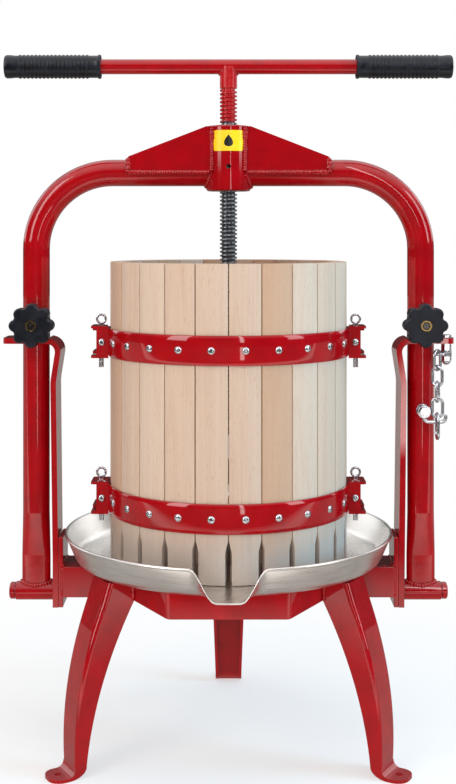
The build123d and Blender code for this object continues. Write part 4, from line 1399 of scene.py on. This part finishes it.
@dataclass
class JuicePan:
    """The spun pan, its rolled rim and the spout that is pressed out of its wall."""

    flat_radius: float = 0.1
    floor_radius: float = 0.190
    rim_radius: float = 0.204
    sheet: float = 1.5 * MM
    roll: float = 1.9 * MM
    corner: float = 8.0 * MM
    bend_share: float = 0.3
    jut: float = 10.0 * MM
    knee_jut: float = 4.0 * MM
    dip: float = 1.2 * MM
    lip_roll: float = 0.9 * MM
    spout_half: Span = (13.5 * MM, 44.0 * MM)
    steps: int = 288

    def build(self) -> None:
        """Press the pan."""
        settle(self.shell(), "base", STAINLESS, "juice_pan")

    def opening(self, angle: float) -> float:
        """Give how far the wall is pressed down at an angle from the spout: 0 not at all, 1 flat.

        Args:
            angle: The angle from the front, in radians.

        Returns:
            The share, smooth at both ends.
        """
        if cos(angle) < 0:
            return 0.0
        narrow, wide = self.spout_half
        share = (wide - abs(self.rim_radius * sin(angle))) / (wide - narrow)
        return eased(min(max(share, 0.0), 1.0))

    def section(self, angle: float) -> list[Span]:
        """Give the sheet's section at an angle, from the middle over the rim and back below.

        Args:
            angle: The angle from the front, in radians.

        Returns:
            Radius and height points.
        """
        low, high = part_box("juice_pan")
        floor = low.z + self.sheet
        rim_height = high.z - self.roll - floor
        pressed = self.opening(angle)
        edge = self.roll + (self.lip_roll - self.roll) * pressed
        out = self.rim_radius + (self.jut - edge) * pressed
        start = Vector((self.floor_radius - self.corner, floor))
        knee = Vector((self.floor_radius + self.knee_jut * pressed, floor))
        rim = Vector((out, floor + rim_height * (1 - pressed) - self.dip * pressed))
        bend = knee.lerp(rim, self.bend_share)
        inside = [Vector((0.0, floor)), Vector((self.flat_radius, floor))]
        for share in spaced(1.0, 6):
            inside.append(start.lerp(knee, share).lerp(knee.lerp(bend, share), share))
        inside += [bend.lerp(rim, share) for share in (0.35, 0.7, 1.0)]
        along = (rim - bend).normalized()
        outward = Vector((along.y, -along.x))
        centre = rim + outward * self.sheet / 2
        turns = [pi - turn for turn in spaced(1.5 * pi, 8)]
        roll = [centre + edge * (outward * cos(turn) + along * sin(turn)) for turn in turns]
        outside = []
        for near, far in zip(inside[1:], inside[2:]):
            run = (far - near).normalized()
            outside.append(near + Vector((run.y, -run.x)) * self.sheet)
        points = inside + roll + outside[::-1] + [Vector((0.0, floor - self.sheet))]
        return [tuple(point) for point in points]

    def shell(self) -> Object:
        """Sweep the section round, with the spout in front.

        Returns:
            The pan.
        """
        rows = []
        for angle in spaced(2 * pi, self.steps)[:-1]:
            heading = Vector((sin(angle), -cos(angle)))
            rows.append([(*(heading * radius), level) for radius, level in self.section(angle)])
        return mesh_piece("juice_pan_shell", lofted(rows, opened=True, loop=True), smooth_angle=50)


@dataclass
class Basket:
    """The slatted basket in halves: staves, hoops, lugs, screws and split pins."""

    rules: Rules
    levels: tuple[str, str] = ("upper", "lower")
    radius: float = 0.150
    stave_count: int = 24
    stave_gaps: Span = (0.9 * MM, 0.4 * MM)
    stave_seeds: tuple[int, int] = (11, 12)
    stave_thickness: float = 18.0 * MM
    stave_round: float = 1.3 * MM
    foot_height: float = 36.0 * MM
    foot_slot: float = 3.2 * MM
    foot_taper: float = 18.0 * MM
    hoop_inner: float = 0.15005
    hoop_sheet: float = 2.5 * MM
    hoop_crown: float = 0.7 * MM
    hoop_ease: float = 0.9 * MM
    hoop_bevel: float = 0.2 * MM
    hoop_split: float = 3.0 * MM
    screw_head: float = 4.6 * MM
    screw_height: float = 2.5 * MM
    screw_points: int = 16
    screw_dome: tuple[Span, ...] = ((1.0, 0.0), (1.0, 0.22), (0.9, 0.55), (0.72, 0.82), (0.52, 0.97))
    screw_recess: tuple[Span, ...] = ((0.46, 1.0), (0.40, 0.62))
    screw_seed: int = 7
    recess_waist: float = 0.3
    lug_web: float = 4.0 * MM
    cheek_face: float = 29.0 * MM
    cheek_screw_x: float = 0.1582
    rounding: float = 0.6 * MM

    @property
    def pitch(self) -> float:
        """The angle from stave to stave, in degrees."""
        return 360.0 / self.stave_count

    def build(self) -> None:
        """Make both halves and their fastenings."""
        for half, gap, seed in zip(Half, self.stave_gaps, self.stave_seeds):
            end = half.name.lower()
            self.staves(f"staves_{end}", half, gap, seed)
            for level in self.levels:
                self.hoop(f"hoop_{level}_{end}", half)
            round_nodes(self.rounding, RED, f"hoop_lugs_{end}")
        self.screws()
        for level, side in product(self.levels, Side):
            dress_nodes(ZINC, side.of(f"split_pin_{level}"))

    def staves(self, node: str, half: Half, gap: float, seed: int) -> None:
        """Set one half's staves in their row.

        Args:
            node: The CAD node that they stand for.
            half: Which half.
            gap: The gap between two staves.
            seed: The seed of the staves' tones.
        """
        pattern = self.stave(node, gap)
        turn = (half.value + self.pitch / 2, self.pitch)
        count = self.stave_count // 2
        row = self.rules.copies(f"{node}_row", pattern, count, turn, seed, (0.0, 0.0, 0.0))
        bpy.data.objects.remove(pattern)
        settle(row, "basket", STAVE_BEECH, node)

    def stave(self, node: str, gap: float) -> Object:
        """Shape one stave, its outer face toward +X, its foot narrowed in a soft curve.

        Args:
            node: The CAD node that gives its height.
            gap: The gap between two staves.

        Returns:
            The pattern stave.
        """
        low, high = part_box(node)
        half_pitch = radians(self.pitch / 2)
        half = self.radius * sin(half_pitch) - gap / 2
        face = chord(self.radius, half)
        back = face - self.stave_thickness
        taper = self.stave_thickness * tan(half_pitch)
        levels = [(low.z, half - self.foot_slot)]
        for share in spaced(1.0, 8):
            level = low.z + self.foot_height + self.foot_taper * share
            levels.append((level, half - self.foot_slot * (1 - eased(share))))
        levels.append((high.z, half))
        rings = []
        for level, wide in levels:
            slim = wide - taper
            corners = [(face, wide), (back, slim), (back, -slim), (face, -wide)]
            rings.append([(*corner, level) for corner in corners])
        form = lofted(rings)
        bevel(form, sharp=45, width=self.stave_round, clamp=False)
        return mesh_piece("stave_pattern", form)

    def hoop(self, node: str, half: Half) -> None:
        """Bend one half of a hoop, a little crowned and with eased edges.

        Args:
            node: The CAD node that it stands for.
            half: Which half.
        """
        low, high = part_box(node)
        inner, outer = self.hoop_inner, self.hoop_inner + self.hoop_sheet
        ease, edge = self.hoop_ease, outer - self.hoop_bevel
        outline = [(inner, low.z), (inner, high.z), (outer - ease, high.z), (edge, high.z - ease)]
        for share in spaced(1.0, 8)[1:-1]:
            level = high.z - ease + (low.z - high.z + 2 * ease) * share
            outline.append((outer + self.hoop_crown * 4 * share * (1 - share), level))
        outline += [(edge, low.z + ease), (outer - ease, low.z)]
        trim = degrees(self.hoop_split / 2 / self.hoop_inner)
        band = turned(f"{node}_band", outline, (half.value + trim, 180.0 - 2 * trim))
        settle(band, "basket", RED, node)

    def screw(self, seat: float) -> Object:
        """Make a dome screw head with a cross recess, facing +X at a radius.

        Args:
            seat: The radius of the face that it sits on.

        Returns:
            The pattern head.
        """
        turns = spaced(2 * pi, self.screw_points)[:-1]
        arms = [self.recess_waist + (1 - self.recess_waist) * cos(2 * turn) ** 4 for turn in turns]
        rings = [([share] * len(turns), lift) for share, lift in self.screw_dome]
        rings += [([share * arm for arm in arms], lift) for share, lift in self.screw_recess]
        rows = []
        for shares, lift in rings:
            x = seat + lift * self.screw_height
            spokes = [(share * self.screw_head, turn) for share, turn in zip(shares, turns)]
            rows.append([(x, radius * cos(turn), radius * sin(turn)) for radius, turn in spokes])
        return mesh_piece("screw_pattern", lofted(rows), smooth_angle=35)

    def screws(self) -> None:
        """Set the screws of the hoops, then those of the lugs and of their cheeks."""
        outer = self.hoop_inner + self.hoop_sheet
        crown = outer + 0.5 * self.hoop_crown
        rows = [(half.value + 1.5 * self.pitch, self.stave_count // 2 - 2) for half in Half]
        for level in self.levels:
            heads = self.screw_rows(f"hoop_screw_heads_{level}", crown, (level,), rows)
            settle(heads, "basket", ZINC, f"hoop_screws_{level}")
        beside = [(start - self.pitch / 2, 2) for start in (0.0, 180.0)]
        heads = self.screw_rows("lug_screw_heads", outer + self.lug_web, self.levels, beside)
        settle(heads, "basket", ZINC, "lug_screws")
        sides = tuple(side.value * self.cheek_screw_x for side in Side)
        cheeks = [(angle, 1) for angle in (90.0, 270.0)]
        heads = self.screw_rows("cheek_screw_heads", self.cheek_face, self.levels, cheeks, sides)
        settle(heads, "basket", ZINC)

    def screw_rows(
        self,
        name: str,
        seat: float,
        levels: tuple[str, ...],
        rows: list[tuple[float, int]],
        sides: tuple[float, ...] = (0.0,),
    ) -> Object:
        """Set rows of screws, a stave apart, and join them to one piece.

        Args:
            name: The piece's name.
            seat: The radius that the heads sit on.
            levels: The hoops whose height they have.
            rows: The first angle and the number of each row.
            sides: The X of each axis that rows are set round.

        Returns:
            The joined heads.
        """
        pattern = self.screw(seat)
        form = bmesh.new()
        for level, across, (start, count) in product(levels, sides, rows):
            origin = (across, 0.0, middle(f"hoop_{level}_front").z)
            turn = (start, self.pitch)
            row = self.rules.copies("screw_row", pattern, count, turn, self.screw_seed, origin)
            form.from_mesh(row.data)
            bpy.data.objects.remove(row)
        bpy.data.objects.remove(pattern)
        return mesh_piece(name, form, smooth_angle=35)


@dataclass
class PressingBoards:
    """The loose boards and the cross block on the pan's floor, inside the basket."""

    def build(self) -> None:
        """Finish the boards and the block."""
        dress_nodes(BOARD_BEECH, "pressing_boards", "press_block")


def main() -> None:
    """Build the stage and every sub-assembly."""
    logging.basicConfig(level=logging.INFO, format="%(name)s: %(message)s")
    rules = Rules(row_rule(), weld_rule())
    builders = [
        Studio(),
        Stand(rules),
        ArchFrame(rules),
        ScrewDrive(rules),
        Locks(),
        StopChain(rules),
        JuicePan(),
        Basket(rules),
        PressingBoards(),
    ]
    for builder in builders:
        builder.build()


if __name__ == "__main__":
    main()
